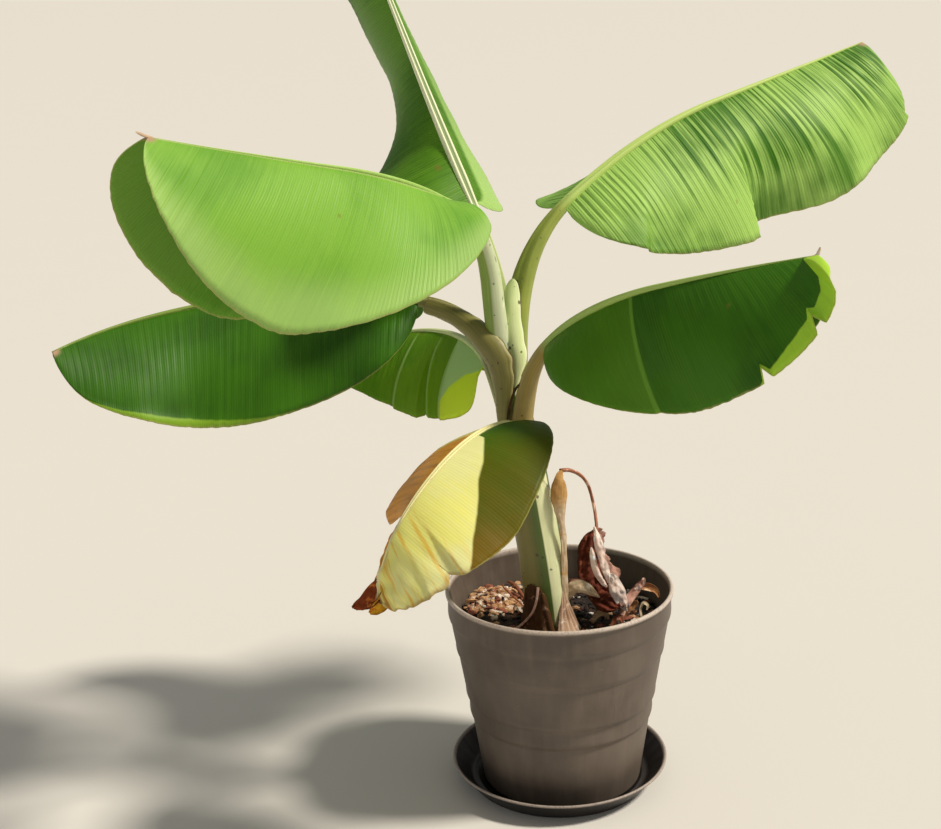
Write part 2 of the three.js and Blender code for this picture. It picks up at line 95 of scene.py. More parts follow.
# the groove colour is painted shade in the channel of the midrib
# the pale side is partly a pale wing and partly painted light on the side facing the
# light
# Leaves, in millimetres and degrees. t runs up the midrib and u from it to the margin,
# both 0 to 1. Lists hold values at even steps of t.
#   root, heading, rise, stalk, length: where the stalk starts, the directions of stalk
#     (first three values) and midrib (last three), and the lengths of the two
#   radii: of the stalk; the last is also the midrib's first
#   skew, power: where the blade is widest, how full its outline is
#   wave: size and count of the margin's waves
#   pleat: spacing and depth, then the u from which pleats calm, and by how much
#   look, channel: finish of the blade, depth of the stalk's channel
#   wash: how far across the stalk its pale side starts (2 is nowhere)
#   rib_tint, rib_size, groove, stalk_tint: colours (body, streaks, pale edges, shade)
#   frayed: how ragged the end is
# and for each half:
#   width, sweep: greatest width, and the lean of the veins toward the tip
#   rib, edge: how far the half hangs, beside the midrib and at the margin
#   flare: lift of the margin; begin: t at which the half starts
#   creases: t at the midrib, lean, drop, reach in t, first u
#   drape: t at the midrib, lean, last t, most degrees of a part that hangs
#   tears: t, depth, reach and depth of the notch; flaps: lift of each strip between
#   flange: (t, u) beyond which the margin folds; shrunk: first t, reach, loss of width
LEAVES = [
    {
        "name": "leaf_top", "root": (-54, -24, 545),
        "heading": [145, 142, 139, 134, 138], "rise": [96, 78, 60, 60, 61],
        "stalk": 213, "radii": [11, 8, 6], "length": 450, "skew": 0.6, "power": 2.35,
        "left": {
            "width": 168, "rib": [0, 10, 70, 92, 88, 87, 81, 60],
            "edge": [20, 66, 138, 157, 146, 139, 121, 90], "sweep": [-12, 5, 22],
        },
        "right": {
            "width": 130, "rib": [18, 27, 35, 38, 45], "edge": [28, 42, 50, 53, 60],
            "sweep": [-15, -5, 5, 14, 22], "begin": 0.04,
        },
        "pleat": (9, 0.3), "look": "mid", "rib_tint": "eef3cc", "rib_size": 1.35,
        "groove_shade": "55781c", "stalk_tint": ("cfdc9c", "b4c878", "f4f6e0", "9ab060"),
    },
    {
        "name": "leaf_left_upper", "root": (-58, -30, 545),
        "heading": [221, 245, 247, 226, 222], "rise": [81, 80, 27, 12, 14],
        "stalk": 258, "radii": [15, 13, 8], "length": 435, "skew": 0.88, "power": 1.53,
        "left": {
            "width": 196, "rib": [-38, 36, 65, 56, 47, 46, 45],
            "edge": [55, 99, 108, 61], "sweep": [12, 28, 38], "flare": 6,
            "creases": [
                (0.78, 0.0, 1.3, 0.014, 0.0), (0.825, 0.0, 1.6, 0.014, 0.0),
                (0.865, 0.0, 1.8, 0.014, 0.0), (0.9, 0.0, 1.8, 0.012, 0.0),
                (0.935, 0.0, 1.6, 0.012, 0.0), (0.965, 0.0, 1.2, 0.01, 0.0),
            ],
        },
        "right": {
            "width": 206, "rib": [20, 54, 41, 14], "edge": [50, 84, 84, 56],
            "sweep": [7, 28, 38],
        },
        "pleat": (8.5, 0.28), "look": "bright", "rib_tint": "a9cf66", "rib_size": 0.55,
        "pale_lit_side": 0.42, "stalk_tint": ("a4bc62", "7f9e40", "f4f7dc", "6d8a34"),
    },
    {
        "name": "leaf_right_upper", "root": (-46, -24, 545),
        "heading": [75, 55, 31, 31, 39], "rise": [96, 67, 38, 14, 12], "stalk": 234,
        "radii": [17, 14.5, 8], "length": 523, "skew": 1.06, "power": 2.34,
        "wave": (9, 3.5),
        "left": {
            "width": 174, "rib": [-2, 21, 26, 26, 26, 28, 30], "edge": [13, 51, 65, 60],
            "sweep": [-16, 5, 18],
        },
        "right": {
            "width": 188, "rib": [15, 42, 35, 33], "edge": [52, 87, 86, 73],
            "sweep": [-16, 5, 18],
            "creases": [
                (0.238, -0.133, 13, 0.045, 0.45), (0.485, -0.075, 26, 0.1, 0.3),
                (0.885, 0.03, 8, 0.05, 0.1),
            ],
            "drape": (0.485, -0.075, 0.74, 15),
        },
        "pleat": (8.8, 0.8, 0.5, 0.7), "look": "fresh", "rib_tint": "c6e07c",
        "channel": 0.35, "pale_lit_side": 2,
        "stalk_tint": ("a3ad4c", "87973a", "c8cf86", "6d7a2e"),
    },
    {
        "name": "leaf_left_lower", "root": (-52, -42, 465),
        "heading": [107, 137, 171, 194, 234], "rise": [94, 54, 7, -4, -11],
        "stalk": 246, "radii": [17, 13, 9], "length": 471, "skew": 0.91, "power": 1.87,
        "wave": (5, 3),
        "left": {
            "width": 172, "rib": [19, 30, 31], "edge": [72, 80, 61],
            "sweep": [-11, 8, 26],
            "flange": [
                (0, 1), (0.3, 1), (0.4, 0.97), (0.5, 0.945), (0.62, 0.925),
                (0.76, 0.925), (0.88, 0.95), (0.96, 1), (1, 1),
            ],
        },
        "right": {
            "width": 150, "rib": [20, 35, 50], "edge": [50, 75, 90],
            "sweep": [-11, 0, -10],
        },
        "pleat": (10, 0.2), "look": "deep", "rib_tint": "7f9a3e",
        "stalk_tint": ("8a8546", "716c36", "a8a468", "4f4a24"),
    },
    {
        "name": "leaf_right_lower", "root": (-40, -50, 470),
        "heading": [296, 304, 306, 330, 331], "rise": [87, 69, 42, 16, 13],
        "stalk": 157, "radii": [14, 12, 8], "length": 366, "skew": 1.23, "power": 2.34,
        "left": {
            "width": 135, "rib": [20, 30, 40], "edge": [50, 70, 80],
            "sweep": [-1, 0, 0],
        },
        "right": {
            "width": 151, "rib": [20, 63, 40, 24], "edge": [79, 107, 76, 51],
            "sweep": [0, 6, 26, 45],
            "tears": [(0.69, 0.09, 0.014, 0.1), (0.86, 0.16, 0.016, 0.15)],
            "creases": [(0.412, -0.06, 4, 0.03, 0.0)],
            "flange": [
                (0, 1), (0.66, 1), (0.685, 0.95), (0.77, 0.85), (0.865, 0.75),
                (0.92, 0.65), (0.945, 0.5), (0.958, 0.05), (1, 0),
            ],
        },
        "pleat": (9, 0.18), "look": "dark", "rib_tint": "a9c866",
        "stalk_tint": ("a8944e", "8c7a3c", "c6b878", "6a5a2a"),
    },
    {
        "name": "leaf_back", "root": (-45, -22, 450),
        "heading": [123, 112, 107, 146, 200], "rise": [64, 43, 19, -10, -10],
        "stalk": 147, "radii": [12, 9, 6], "length": 351, "skew": 0.68, "power": 1.5,
        "left": {
            "width": 127, "rib": [49, 31, 28], "edge": [97, 77, 70],
            "sweep": [-45, 9, 22],
            "tears": [
                (0.245, 0.92, 0.01, 0.05), (0.345, 0.86, 0.01, 0.04),
                (0.48, 0.8, 0.01, 0.04),
            ],
            "flaps": [9, -7, 4, -3],
        },
        "right": {
            "width": 125, "rib": [20, 20, 20], "edge": [50, 60, 60],
            "sweep": [-45, 9, 22],
        },
        "pleat": (11, 0.25), "look": "torn", "rib_tint": "d3e2a2",
        "stalk_tint": ("b6b878", "96984e", "dadfae", "6f7038"),
    },
    {
        "name": "leaf_yellow", "root": (-40, -54, 462),
        "heading": [280, 263, 245, 232, 195], "rise": [75, 48, 18, -28, -86],
        "stalk": 79, "radii": [12, 9, 7], "length": 324, "skew": 1.03, "power": 1.64,
        "left": {
            "width": 119, "rib": [-28, 14, 16], "edge": [2, 43, 31],
            "sweep": [-28, -10, 8, 9, 26], "tears": [(0.745, 0.3, 0.03, 0.12)],
            "creases": [
                (0.66, 0.06, 7.5, 0.05, 0.1), (0.745, 0.09, 3.0, 0.02, 0.2),
                (0.79, 0.12, 3.0, 0.02, 0.2), (0.86, 0.1, 3.0, 0.02, 0.1),
            ],
        },
        "right": {
            "width": 131, "rib": [11, 27, 32, 10], "edge": [21, 42, 47, -10],
            "sweep": [-28, 8, 10], "shrunk": (0.6, 0.09, 0.78),
        },
        "pleat": (13, 0.1), "look": "yellow", "rib_tint": "f8f0b0", "rib_size": 0.7,
        "frayed": 1.0, "stalk_tint": ("8f9444", "77803a", "b4b870", "545c26"),
    },
]


# ---------------------------------------------------------------- lines and shapes


def along(values, t):
    """Value at t (0 to 1) of a list of values at even steps."""
    x = min(max(t, 0.0), 1.0) * (len(values) - 1)
    i = min(int(x), len(values) - 2)
    return values[i] + (values[i + 1] - values[i]) * (x - i)


def eased(values, t):
    """The same value averaged over a short reach, so that no crease shows."""
    return sum(along(values, t + EASE * k / 3) for k in range(-3, 4)) / 7


def smooth(x):
    """0 below 0 and 1 above 1, with a soft rise between."""
    x = min(max(x, 0.0), 1.0)
    return x * x * (3 - 2 * x)


def frame_of(heading, rise):
    """Forward, left and top of a line with this heading and rise, in degrees."""
    a, e = math.radians(heading), math.radians(rise)
    forward = Vector(
        (math.cos(e) * math.cos(a), math.cos(e) * math.sin(a), math.sin(e))
    )
    left = Vector((-math.sin(a), math.cos(a), 0))
    top = Vector((-math.sin(e) * math.cos(a), -math.sin(e) * math.sin(a), math.cos(e)))
    return forward, left, top


def centreline(start, heading, rise, length):
    """A limb's line as points with their own forward, left and top."""
    point, line = Vector(start), []
    for i in range(LINE_STEPS + 1):
        t = i / LINE_STEPS
        line.append((point.copy(), *frame_of(along(heading, t), along(rise, t))))
        half = (i + 0.5) / LINE_STEPS
        point = point + frame_of(along(heading, half), along(rise, half))[0] * (
            length / LINE_STEPS
        )
    return line


def place_at(line, t):
    """Point, forward, left and top of a line at t (0 to 1)."""
    x = min(max(t, 0.0), 1.0) * (len(line) - 1)
    i = min(int(x), len(line) - 2)
    mixed = [a.lerp(b, x - i) for a, b in zip(line[i], line[i + 1])]
    return mixed[0], *(v.normalized() for v in mixed[1:])


def grid(across, lengthwise):
    """A flat grid whose x and y run from 0 to 1."""
    bm = bmesh.new()
    bmesh.ops.create_grid(
        bm, x_segments=across, y_segments=lengthwise, size=0.5, calc_uvs=True
    )
    bmesh.ops.translate(bm, verts=bm.verts, vec=(0.5, 0.5, 0))
    return bm


def close_seam(bm, reach):
    """Joins the two edges of a grid that was rolled into a tube."""
    bmesh.ops.remove_doubles(bm, verts=bm.verts, dist=reach)
    bmesh.ops.recalc_face_normals(bm, faces=bm.faces)


def spin_profile(profile, centre_x, steps):
    """Closed round body from a (radius, height) profile about an upright axis."""
    bm = bmesh.new()
    points = [bm.verts.new((centre_x + r, 0, z)) for r, z in profile]
    edges = [bm.edges.new(pair) for pair in zip(points, points[1:])]
    bmesh.ops.spin(
        bm,
        geom=points + edges,
        cent=(centre_x, 0, 0),
        axis=(0, 0, 1),
        angle=TURN,
        steps=steps,
        use_merge=True,
    )
    bmesh.ops.remove_doubles(bm, verts=bm.verts, dist=1e-4)
    bmesh.ops.recalc_face_normals(bm, faces=bm.faces)
    return bm


def unwrap(bm, width, length, scale=2, start=-1):
    """Maps a flat grid before it is bent.

    Vein holds metres across and lengthwise. Blade holds scale * x + start, which is -1
    to 1 across a blade, and y from 0 to 1.
    """
    vein, ring = uv_layer(bm, "Vein"), uv_layer(bm, "Blade")
    for face in bm.faces:
        for loop in face.loops:
            x, y, _ = loop.vert.co
            loop[vein].uv = (x * width, y * length)
            loop[ring].uv = (x * scale + start, y)


def new_piece(bm, name, materials, replaced=(), rounded=True):
    """Makes the piece in metres, and lets it ride on the plant."""
    bmesh.ops.scale(bm, vec=(MM, MM, MM), verts=bm.verts)
    mesh = bpy.data.meshes.new(name)
    for face in bm.faces:
        face.smooth = rounded
    bm.to_mesh(mesh)
    bm.free()
    piece = bpy.data.objects.new(name, mesh)
    for material in materials:
        mesh.materials.append(material)
    bpy.context.scene.collection.objects.link(piece)
    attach(piece, "root")
    if replaced:
        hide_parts(*replaced)
    return piece


def thicken(piece, thickness, second=0):
    """Gives a sheet its thickness; second is the material slot of its underside."""
    wall = piece.modifiers.new("Thickness", "SOLIDIFY")
    wall.thickness = thickness * MM
    wall.offset = 0
    wall.material_offset = second


def uv_layer(bm, name):
    return bm.loops.layers.uv.get(name) or bm.loops.layers.uv.new(name)


# ---------------------------------------------------------------- shader nodes


def feed(tree, made, inputs):
    """Sets a node's inputs to numbers, colours or other nodes' outputs."""
    for key, value in inputs.items():
        if isinstance(value, bpy.types.NodeSocket):
            tree.links.new(value, made.inputs[key])
        else:
            made.inputs[key].default_value = value


def node(tree, kind, inputs=None, **settings):
    """Adds a node with these settings and inputs."""
    made = tree.nodes.new(kind)
    for name, value in settings.items():
        setattr(made, name, value)
    feed(tree, made, inputs or {})
    return made


def calc(tree, operation, a, b=0.0, c=0.0):
    """Result of a maths node."""
    made = node(tree, "ShaderNodeMath", {0: a, 1: b, 2: c}, operation=operation)
    return made.outputs[0]


def times(tree, a, b, plus=None):
    """a times b, plus a third value where there is one."""
    if plus is None:
        return calc(tree, "MULTIPLY", a, b)
    return calc(tree, "MULTIPLY_ADD", a, b, plus)


def blend(tree, factor, a, b):
    """Colour a where the factor is 0 and b where it is 1."""
    made = node(tree, "ShaderNodeMix", {0: factor, 6: a, 7: b}, data_type="RGBA")
    return made.outputs[2]


def tint(tree, colour, mask, share, over):
    """Lays the colour over another by a share of a mask."""
    return blend(tree, times(tree, mask, share), colour, over)


def split(tree, vector):
    """The x, y and z of a vector."""
    return node(tree, "ShaderNodeSeparateXYZ", {0: vector}).outputs


def marked(tree, name):
    """Value that the mesh holds under this name at its vertices."""
    return node(tree, "ShaderNodeAttribute", attribute_name=name).outputs["Fac"]


def spread(tree, value, low, high, first=0.0, last=1.0, kind="SMOOTHSTEP"):
    """Value from first to last as it runs from low to high."""
    made = node(
        tree,
        "ShaderNodeMapRange",
        {0: value, 1: low, 2: high, 3: first, 4: last},
        interpolation_type=kind,
    )
    return made.outputs[0]


def curve_of(tree, value, points):
    """Value read from a hand-drawn curve whose points run from x 0 to x 1."""
    made = node(tree, "ShaderNodeFloatCurve", {"Value": value})
    curve = made.mapping.curves[0]
    curve.points[0].location, curve.points[-1].location = points[0], points[-1]
    for point in points[1:-1]:
        curve.points.new(*point)
    for point in curve.points:
        point.handle_type = "VECTOR"
    made.mapping.update()
    return made.outputs[0]


def clouds(tree, vector, scale, detail=4.0, roughness=0.55, stretch=(1, 1, 1)):
    """Soft noise at a scale per metre, from 0 to 1."""
    mapped = node(tree, "ShaderNodeMapping", {"Vector": vector, "Scale": stretch})
    made = node(
        tree,
        "ShaderNodeTexNoise",
        {
            "Vector": mapped.outputs[0], "Scale": scale, "Detail": detail,
            "Roughness": roughness,
        },
    )
    return made.outputs["Fac"]


def new_group(name, inputs, outputs):
    """Empty node group with named sockets: (tree, inputs by name, output node)."""
    tree = bpy.data.node_groups.new(name, "ShaderNodeTree")
    for label, kind, value in inputs:
        socket = tree.interface.new_socket(
            name=label, in_out="INPUT", socket_type="NodeSocket" + kind
        )
        if kind != "Vector":
            socket.default_value = value
    for label, kind in outputs:
        tree.interface.new_socket(
            name=label, in_out="OUTPUT", socket_type="NodeSocket" + kind
        )
    given = tree.nodes.new("NodeGroupInput").outputs
    return tree, given, tree.nodes.new("NodeGroupOutput")


def group_once(build):
    """Keeps one copy of the group that build makes; its docstring is its name."""

    def get():
        found = bpy.data.node_groups.get(build.__doc__)
        return found or build()

    return get


@group_once
def leaf_veins():
    """Leaf Veins"""
    tree, given, out = new_group(
        "Leaf Veins",
        [("Vein Map", "Vector", None), ("Spacing", "Float", 0.0032)],
        [("Lines", "Float"), ("Streaks", "Float"), ("Height", "Float")],
    )
    parts = split(tree, given["Vein Map"])
    wander = clouds(tree, given["Vein Map"], 14, 2)
    shifted = times(tree, wander, 0.004, parts[1])
    phase = calc(tree, "DIVIDE", shifted, given["Spacing"])
    coarse = calc(tree, "SINE", times(tree, phase, TURN))
    fine = calc(tree, "SINE", times(tree, phase, TURN * 2.63))
    uneven = clouds(tree, given["Vein Map"], 1.0, 3, 0.6, (6, 45, 1))
    lines = times(tree, spread(tree, coarse, 0.2, 1.0), spread(tree, uneven, 0.35, 0.7))
    streaks = clouds(tree, given["Vein Map"], 1.0, 5, 0.65, (9, 260, 1))
    height = times(tree, coarse, 0.6, times(tree, fine, 0.25))
    height = times(tree, streaks, 0.8, height)
    feed(tree, out, {"Lines": lines, "Streaks": streaks, "Height": height})
    return tree


@group_once
def leaf_regions():
    """Leaf Regions"""
    tree, given, out = new_group(
        "Leaf Regions",
        [
            ("Vein Map", "Vector", None), ("Blade Map", "Vector", None),
            ("Rib Width", "Float", 0.008), ("Margin", "Float", 0.985),
        ],
        [("Rib", "Float"), ("Margin", "Float"), ("Tip", "Float")],
    )
    vein = split(tree, given["Vein Map"])
    blade = split(tree, given["Blade Map"])
    grain = clouds(tree, given["Vein Map"], 60, 3)
    taper = spread(tree, blade[1], 0.0, 1.0, 1.0, 0.25, "LINEAR")
    reach = times(tree, given["Rib Width"], taper)
    distance = calc(tree, "ABSOLUTE", vein[0])
    rib = spread(tree, calc(tree, "DIVIDE", distance, reach), 0.55, 1.25, 1.0, 0.0)
    edge = calc(tree, "ABSOLUTE", blade[0])
    ragged = times(tree, calc(tree, "SUBTRACT", grain, 0.5), 0.025, edge)
    margin = spread(tree, ragged, given["Margin"], 1.0)
    end = spread(tree, times(tree, grain, 0.02, blade[1]), 0.978, 1.0)
    beside = spread(tree, distance, 0.003, 0.012, 1.0, 0.0)
    tip = times(tree, end, beside)
    feed(tree, out, {"Rib": rib, "Margin": margin, "Tip": tip})
    return tree


@group_once
def mottling():
    """Mottling"""
    tree, given, out = new_group(
        "Mottling",
        [("Vector", "Vector", None), ("Scale", "Float", 9.0)],
        [("Patches", "Float"), ("Grain", "Float")],
    )
    broad, fine = (
        node(
            tree,
            "ShaderNodeTexNoise",
            {"Vector": given["Vector"], "Scale": scale, "Detail": 3.0},
        ).outputs["Fac"]
        for scale in (given["Scale"], 420.0)
    )
    feed(tree, out, {"Patches": spread(tree, broad, 0.36, 0.66), "Grain": fine})
    return tree


@group_once
def specks():
    """Specks"""
    tree, given, out = new_group(
        "Specks",
        [
            ("Vector", "Vector", None), ("Scale", "Float", 160.0),
            ("Amount", "Float", 0.3),
        ],
        [("Specks", "Float")],
    )
    bent = node(
        tree, "ShaderNodeTexNoise", {"Vector": given["Vector"], "Scale": 90.0}
    ).outputs["Color"]
    shift = node(
        tree,
        "ShaderNodeVectorMath",
        {0: bent, 1: (0.004, 0.004, 0.004), 2: given["Vector"]},
        operation="MULTIPLY_ADD",
    )
    cells = node(
        tree,
        "ShaderNodeTexVoronoi",
        {"Vector": shift.outputs[0], "Scale": given["Scale"]},
    )
    rare = node(
        tree, "ShaderNodeTexWhiteNoise", {"Vector": cells.outputs["Position"]}
    ).outputs["Value"]
    size = times(tree, calc(tree, "LESS_THAN", rare, given["Amount"]), 0.42)
    size = times(tree, size, calc(tree, "DIVIDE", rare, given["Amount"]))
    spot = calc(tree, "SUBTRACT", size, cells.outputs["Distance"])
    feed(tree, out, {"Specks": spread(tree, spot, 0.0, 0.12)})
    return tree


@group_once
def fibres():
    """Fibres"""
    tree, given, out = new_group(
        "Fibres",
        [("Vein Map", "Vector", None), ("Width", "Float", 1.0)],
        [("Fibres", "Float"), ("Height", "Float")],
    )
    scaled = node(
        tree,
        "ShaderNodeVectorMath",
        {0: given["Vein Map"], "Scale": given["Width"]},
        operation="SCALE",
    ).outputs[0]
    broad = clouds(tree, scaled, 1.0, 4, 0.6, (170, 7, 1))
    fine = clouds(tree, scaled, 1.0, 5, 0.7, (900, 14, 1))
    both = times(tree, fine, 0.5, times(tree, broad, 0.5))
    feed(tree, out, {"Fibres": spread(tree, both, 0.34, 0.66), "Height": both})
    return tree


@group_once
def plastic_wear():
    """Plastic Wear"""
    tree, given, out = new_group(
        "Plastic Wear",
        [("Vector", "Vector", None), ("Dust", "Float", 0.4)],
        [("Dust", "Float"), ("Scuffs", "Float"), ("Height", "Float")],
    )
    film = clouds(tree, given["Vector"], 7, 6, 0.62)
    runs = clouds(tree, given["Vector"], 1.0, 5, 0.65, (75, 75, 5))
    rings = clouds(tree, given["Vector"], 1.0, 4, 0.6, (8, 8, 700))
    grain = clouds(tree, given["Vector"], 900, 2)
    film = times(tree, runs, 0.55, times(tree, film, 0.45))
    dust = times(tree, spread(tree, film, 0.42, 0.72), given["Dust"])
    dust = times(tree, spread(tree, grain, 0.55, 0.8), 0.12, dust)
    nicks = clouds(tree, given["Vector"], 46, 6, 0.75, (1, 1, 5))
    scuffs = spread(tree, nicks, 0.66, 0.74)
    height = times(tree, rings, 0.6, times(tree, grain, 0.4))
    feed(tree, out, {"Dust": dust, "Scuffs": scuffs, "Height": height})
    return tree


def use(tree, group, inputs):
    """Places a node group and returns its outputs."""
    return node(tree, "ShaderNodeGroup", inputs, node_tree=group()).outputs


def new_material(name):
    """Material with a Principled shader: (material, tree, shader, output node)."""
    material = bpy.data.materials.new(name)
    material.use_nodes = True
    tree = material.node_tree
    shader = tree.nodes["Principled BSDF"]
    return material, tree, shader, tree.nodes["Material Output"]


def own_coordinates(tree):
    """Place on the piece, in metres from its origin."""
    return node(tree, "ShaderNodeTexCoord").outputs["Object"]


def uv(tree, name):
    return node(tree, "ShaderNodeUVMap", uv_map=name).outputs[0]


def bump(tree, shader, height, distance, strength=1.0):
    made = node(
        tree,
        "ShaderNodeBump",
        {"Height": height, "Distance": distance, "Strength": strength},
    )
    feed(tree, shader, {"Normal": made.outputs[0]})
    return made.outputs[0]


def fibrous(tree, width, scale):
    """Place, across and along, fibres and mottling of fibrous tissue."""
    place = own_coordinates(tree)
    fibre = use(tree, fibres, {"Vein Map": uv(tree, "Vein"), "Width": width})
    patches = use(tree, mottling, {"Vector": place, "Scale": scale})
    return place, split(tree, uv(tree, "Blade")), fibre, patches


def waxy(tree, shader, colour, rough, depth):
    """Colour and dullness of live tissue, in which some light spreads, mostly green."""
    inputs = {"Base Color": colour, "Roughness": rough, "Subsurface Weight": depth}
    feed(tree, shader, {**inputs, "Subsurface Radius": (0.002, 0.003, 0.001)})


def matt(tree, shader, colour, rough, specular):
    """Colour, dullness and shine of a surface."""
    inputs = {"Base Color": colour, "Roughness": rough}
    feed(tree, shader, {**inputs, "Specular IOR Level": specular})


# ---------------------------------------------------------------- finishes

# The deep and dark looks belong to the two lower leaves, which hang under others. Their
# greens are partly the darker green of older leaves and partly painted shade.
LOOKS = {
    "bright": {"lit": "8cc446", "deep": "6ca835", "under": "7fae46"},
    "fresh": {"lit": "b4e072", "deep": "437e16", "under": "7da844"},
    "mid": {"lit": "659c22", "deep": "447814", "under": "61902c"},
    "deep": {"lit": "3f7610", "deep": "2a5707", "under": "4c7e1e"},
    "dark": {"lit": "427c0c", "deep": "2f6206", "under": "4f841e"},
    "torn": {"lit": "96c42a", "deep": "6ca418", "under": "7fa64a"},
    "yellow": {"lit": "fdffb4", "deep": "fdfb8c", "under": "c88a22"},
}


def blade_material(look, side, settings):
    """Finish of one side of a blade: veins, pale midrib band, margin and blemishes."""
    material, tree, shader, output = new_material(f"Blade {look} {side}")
    colours = LOOKS[look]
    place = own_coordinates(tree)
    vein_map, blade_map = uv(tree, "Vein"), uv(tree, "Blade")
    veins = use(tree, leaf_veins, {"Vein Map": vein_map, "Spacing": 0.0031})
    regions = use(
        tree,
        leaf_regions,
        {
            "Vein Map": vein_map, "Blade Map": blade_map, "Rib Width": 0.0075,
            "Margin": 0.982,
        },
    )
    patches = use(tree, mottling, {"Vector": place, "Scale": 8.0})
    top = side == "upper"
    plain = {"yellow": 0.25, "deep": 0.35, "dark": 0.45}.get(look, 1.0)
    first = paint(colours["lit"] if top else colours["under"])
    second = paint(colours["deep"])
    tone = times(tree, veins["Streaks"], 0.7, times(tree, patches["Patches"], 0.45))
    if look == "fresh":
        bands = clouds(tree, vein_map, 1.0, 2, 0.5, (3.5, 190, 1))
        parts = split(tree, blade_map)
        inner = spread(tree, calc(tree, "ABSOLUTE", parts[0]), 0.45, 0.8, 0.5, 0.1)
        inner = times(tree, inner, spread(tree, parts[1], 0.1, 0.35, 0.4, 1))
        bands = times(tree, spread(tree, bands, 0.42, 0.62), inner)
        tone = calc(tree, "ADD", bands, tone)
        tone = calc(tree, "SUBTRACT", tone, 0.12)
    colour = blend(tree, spread(tree, tone, 0.3, 0.95), first, second)
    # Painted light: the upper side turns paler toward the margin, where light falls on
    # the outer part of the blade.
    if look == "bright" and top:
        across = split(tree, blade_map)[0]
        outer = times(tree, patches["Patches"], 0.12, calc(tree, "ABSOLUTE", across))
        colour = blend(
            tree, spread(tree, outer, 0.62, 1.0, 0.0, 0.5), colour, paint("c4e48c")
        )
    # Painted light: a pale band on the outer part of the right half, fading toward the
    # tip; the part beside the midrib keeps the plain green.
    if look == "mid" and top:
        parts = split(tree, blade_map)
        bloom = times(
            tree,
            spread(tree, parts[0], 0.3, 0.46),
            spread(tree, parts[1], 0.1, 0.6, 0.85, 0.3),
        )
        colour = blend(tree, bloom, colour, paint("c2ea88"))
    if look == "yellow":
        colour = yellowing(tree, colour, vein_map, blade_map, place)
    # Painted light on the folded near margin of the deep and dark looks.
    if look in ("dark", "deep"):
        colour = painted_light_margin(tree, colour, blade_map, look, settings)
    if look == "torn":
        colour = torn_strips(tree, colour, blade_map)
    seam = marked(tree, "seam")
    colour = tint(tree, colour, seam, 0.85, paint("bcdc86"))
    colour = tint(
        tree, colour, veins["Lines"], settings.vein_tint * plain, settings.vein_colour
    )
    marks = use(tree, specks, {"Vector": place, "Scale": 60.0, "Amount": 0.025})
    colour = tint(tree, colour, marks[0], 0.5, paint("8a7a34"))
    midrib = paint("f8f1b8") if look == "yellow" else settings.rib_colour
    colour = blend(tree, regions["Rib"], colour, midrib)
    colour = tint(tree, colour, regions["Margin"], 0.6, settings.margin_colour)
    colour = blend(tree, regions["Tip"], colour, paint("c3a183"))
    base = 0.42 if top else 0.58
    rough = times(tree, patches["Patches"], 0.12, base)
    matt(tree, shader, colour, rough, 0.22 if top else 0.15)
    normal = bump(tree, shader, veins["Height"], 0.00025 * plain, 0.8)
    glow = node(tree, "ShaderNodeBsdfTranslucent", {"Color": colour, "Normal": normal})
    share = 0.5 if look == "torn" else settings.glow
    mix = {0: share, 1: shader.outputs[0], 2: glow.outputs[0]}
    both = node(tree, "ShaderNodeMixShader", mix)
    feed(tree, output, {"Surface": both.outputs[0]})
    return material


def yellowing(tree, colour, vein_map, blade_map, place):
    """Pale near half with a green to olive margin, orange far half, burnt tip."""
    parts = split(tree, blade_map)
    across, up = parts[0], parts[1]
    drift = calc(tree, "SUBTRACT", clouds(tree, place, 22, 4), 0.5)
    leaning = node(
        tree, "ShaderNodeMapping", {"Vector": vein_map, "Rotation": (0, 0, 0.35)}
    )
    bands = clouds(tree, leaning.outputs[0], 1.0, 4, 0.6, (7, 110, 1))
    near = times(tree, across, -1.0)
    # The limit follows the edge of a cast shadow: the green, olive and brown inside it
    # are partly painted shadow.
    limit = curve_of(
        tree,
        up,
        [
            (0, 0), (0.26, 0), (0.28, 0.15), (0.385, 0.35), (0.448, 0.42),
            (0.515, 0.55), (0.61, 0.75), (0.7, 1), (1, 1),
        ],
    )
    beyond = times(tree, drift, 0.03, calc(tree, "SUBTRACT", near, limit))
    late = spread(tree, up, 0.69, 0.71, 1.0, 0.0)
    green = times(tree, spread(tree, beyond, -0.015, 0.02), late)
    ripe = times(tree, drift, 0.5, up)
    ripe = times(tree, near, 0.22, ripe)
    green_and_shadow = blend(
        tree, spread(tree, ripe, 0.12, 0.62), paint("3f6a08"), paint("5e6206")
    )
    brown_and_shadow = times(tree, spread(tree, ripe, 0.55, 0.95), 0.85)
    green_and_shadow = blend(tree, brown_and_shadow, green_and_shadow, paint("86640e"))
    fold = spread(tree, times(tree, bands, 0.2, up), 0.72, 0.9)
    colour = tint(
        tree, colour, fold, spread(tree, bands, 0.5, 0.66, 0.0, 0.85), paint("f5bf22")
    )
    colour = blend(tree, green, colour, green_and_shadow)
    # Partly painted shade: the orange of the far half.
    far = spread(tree, across, 0.015, 0.05)
    far = times(tree, far, spread(tree, up, 0.19, 0.26))
    orange = blend(
        tree, spread(tree, bands, 0.4, 0.7), paint("f2a208"), paint("cc8006")
    )
    colour = tint(tree, colour, far, 0.92, orange)
    browned = times(tree, bands, 0.12, up)
    crisp = times(tree, spread(tree, near, 0.9, 1.0), 0.6)
    crisp = times(tree, crisp, spread(tree, up, 0.66, 0.74))
    burnt = calc(tree, "MAXIMUM", spread(tree, browned, 1.0, 1.07), crisp)
    return blend(tree, burnt, colour, paint("a05a26"))


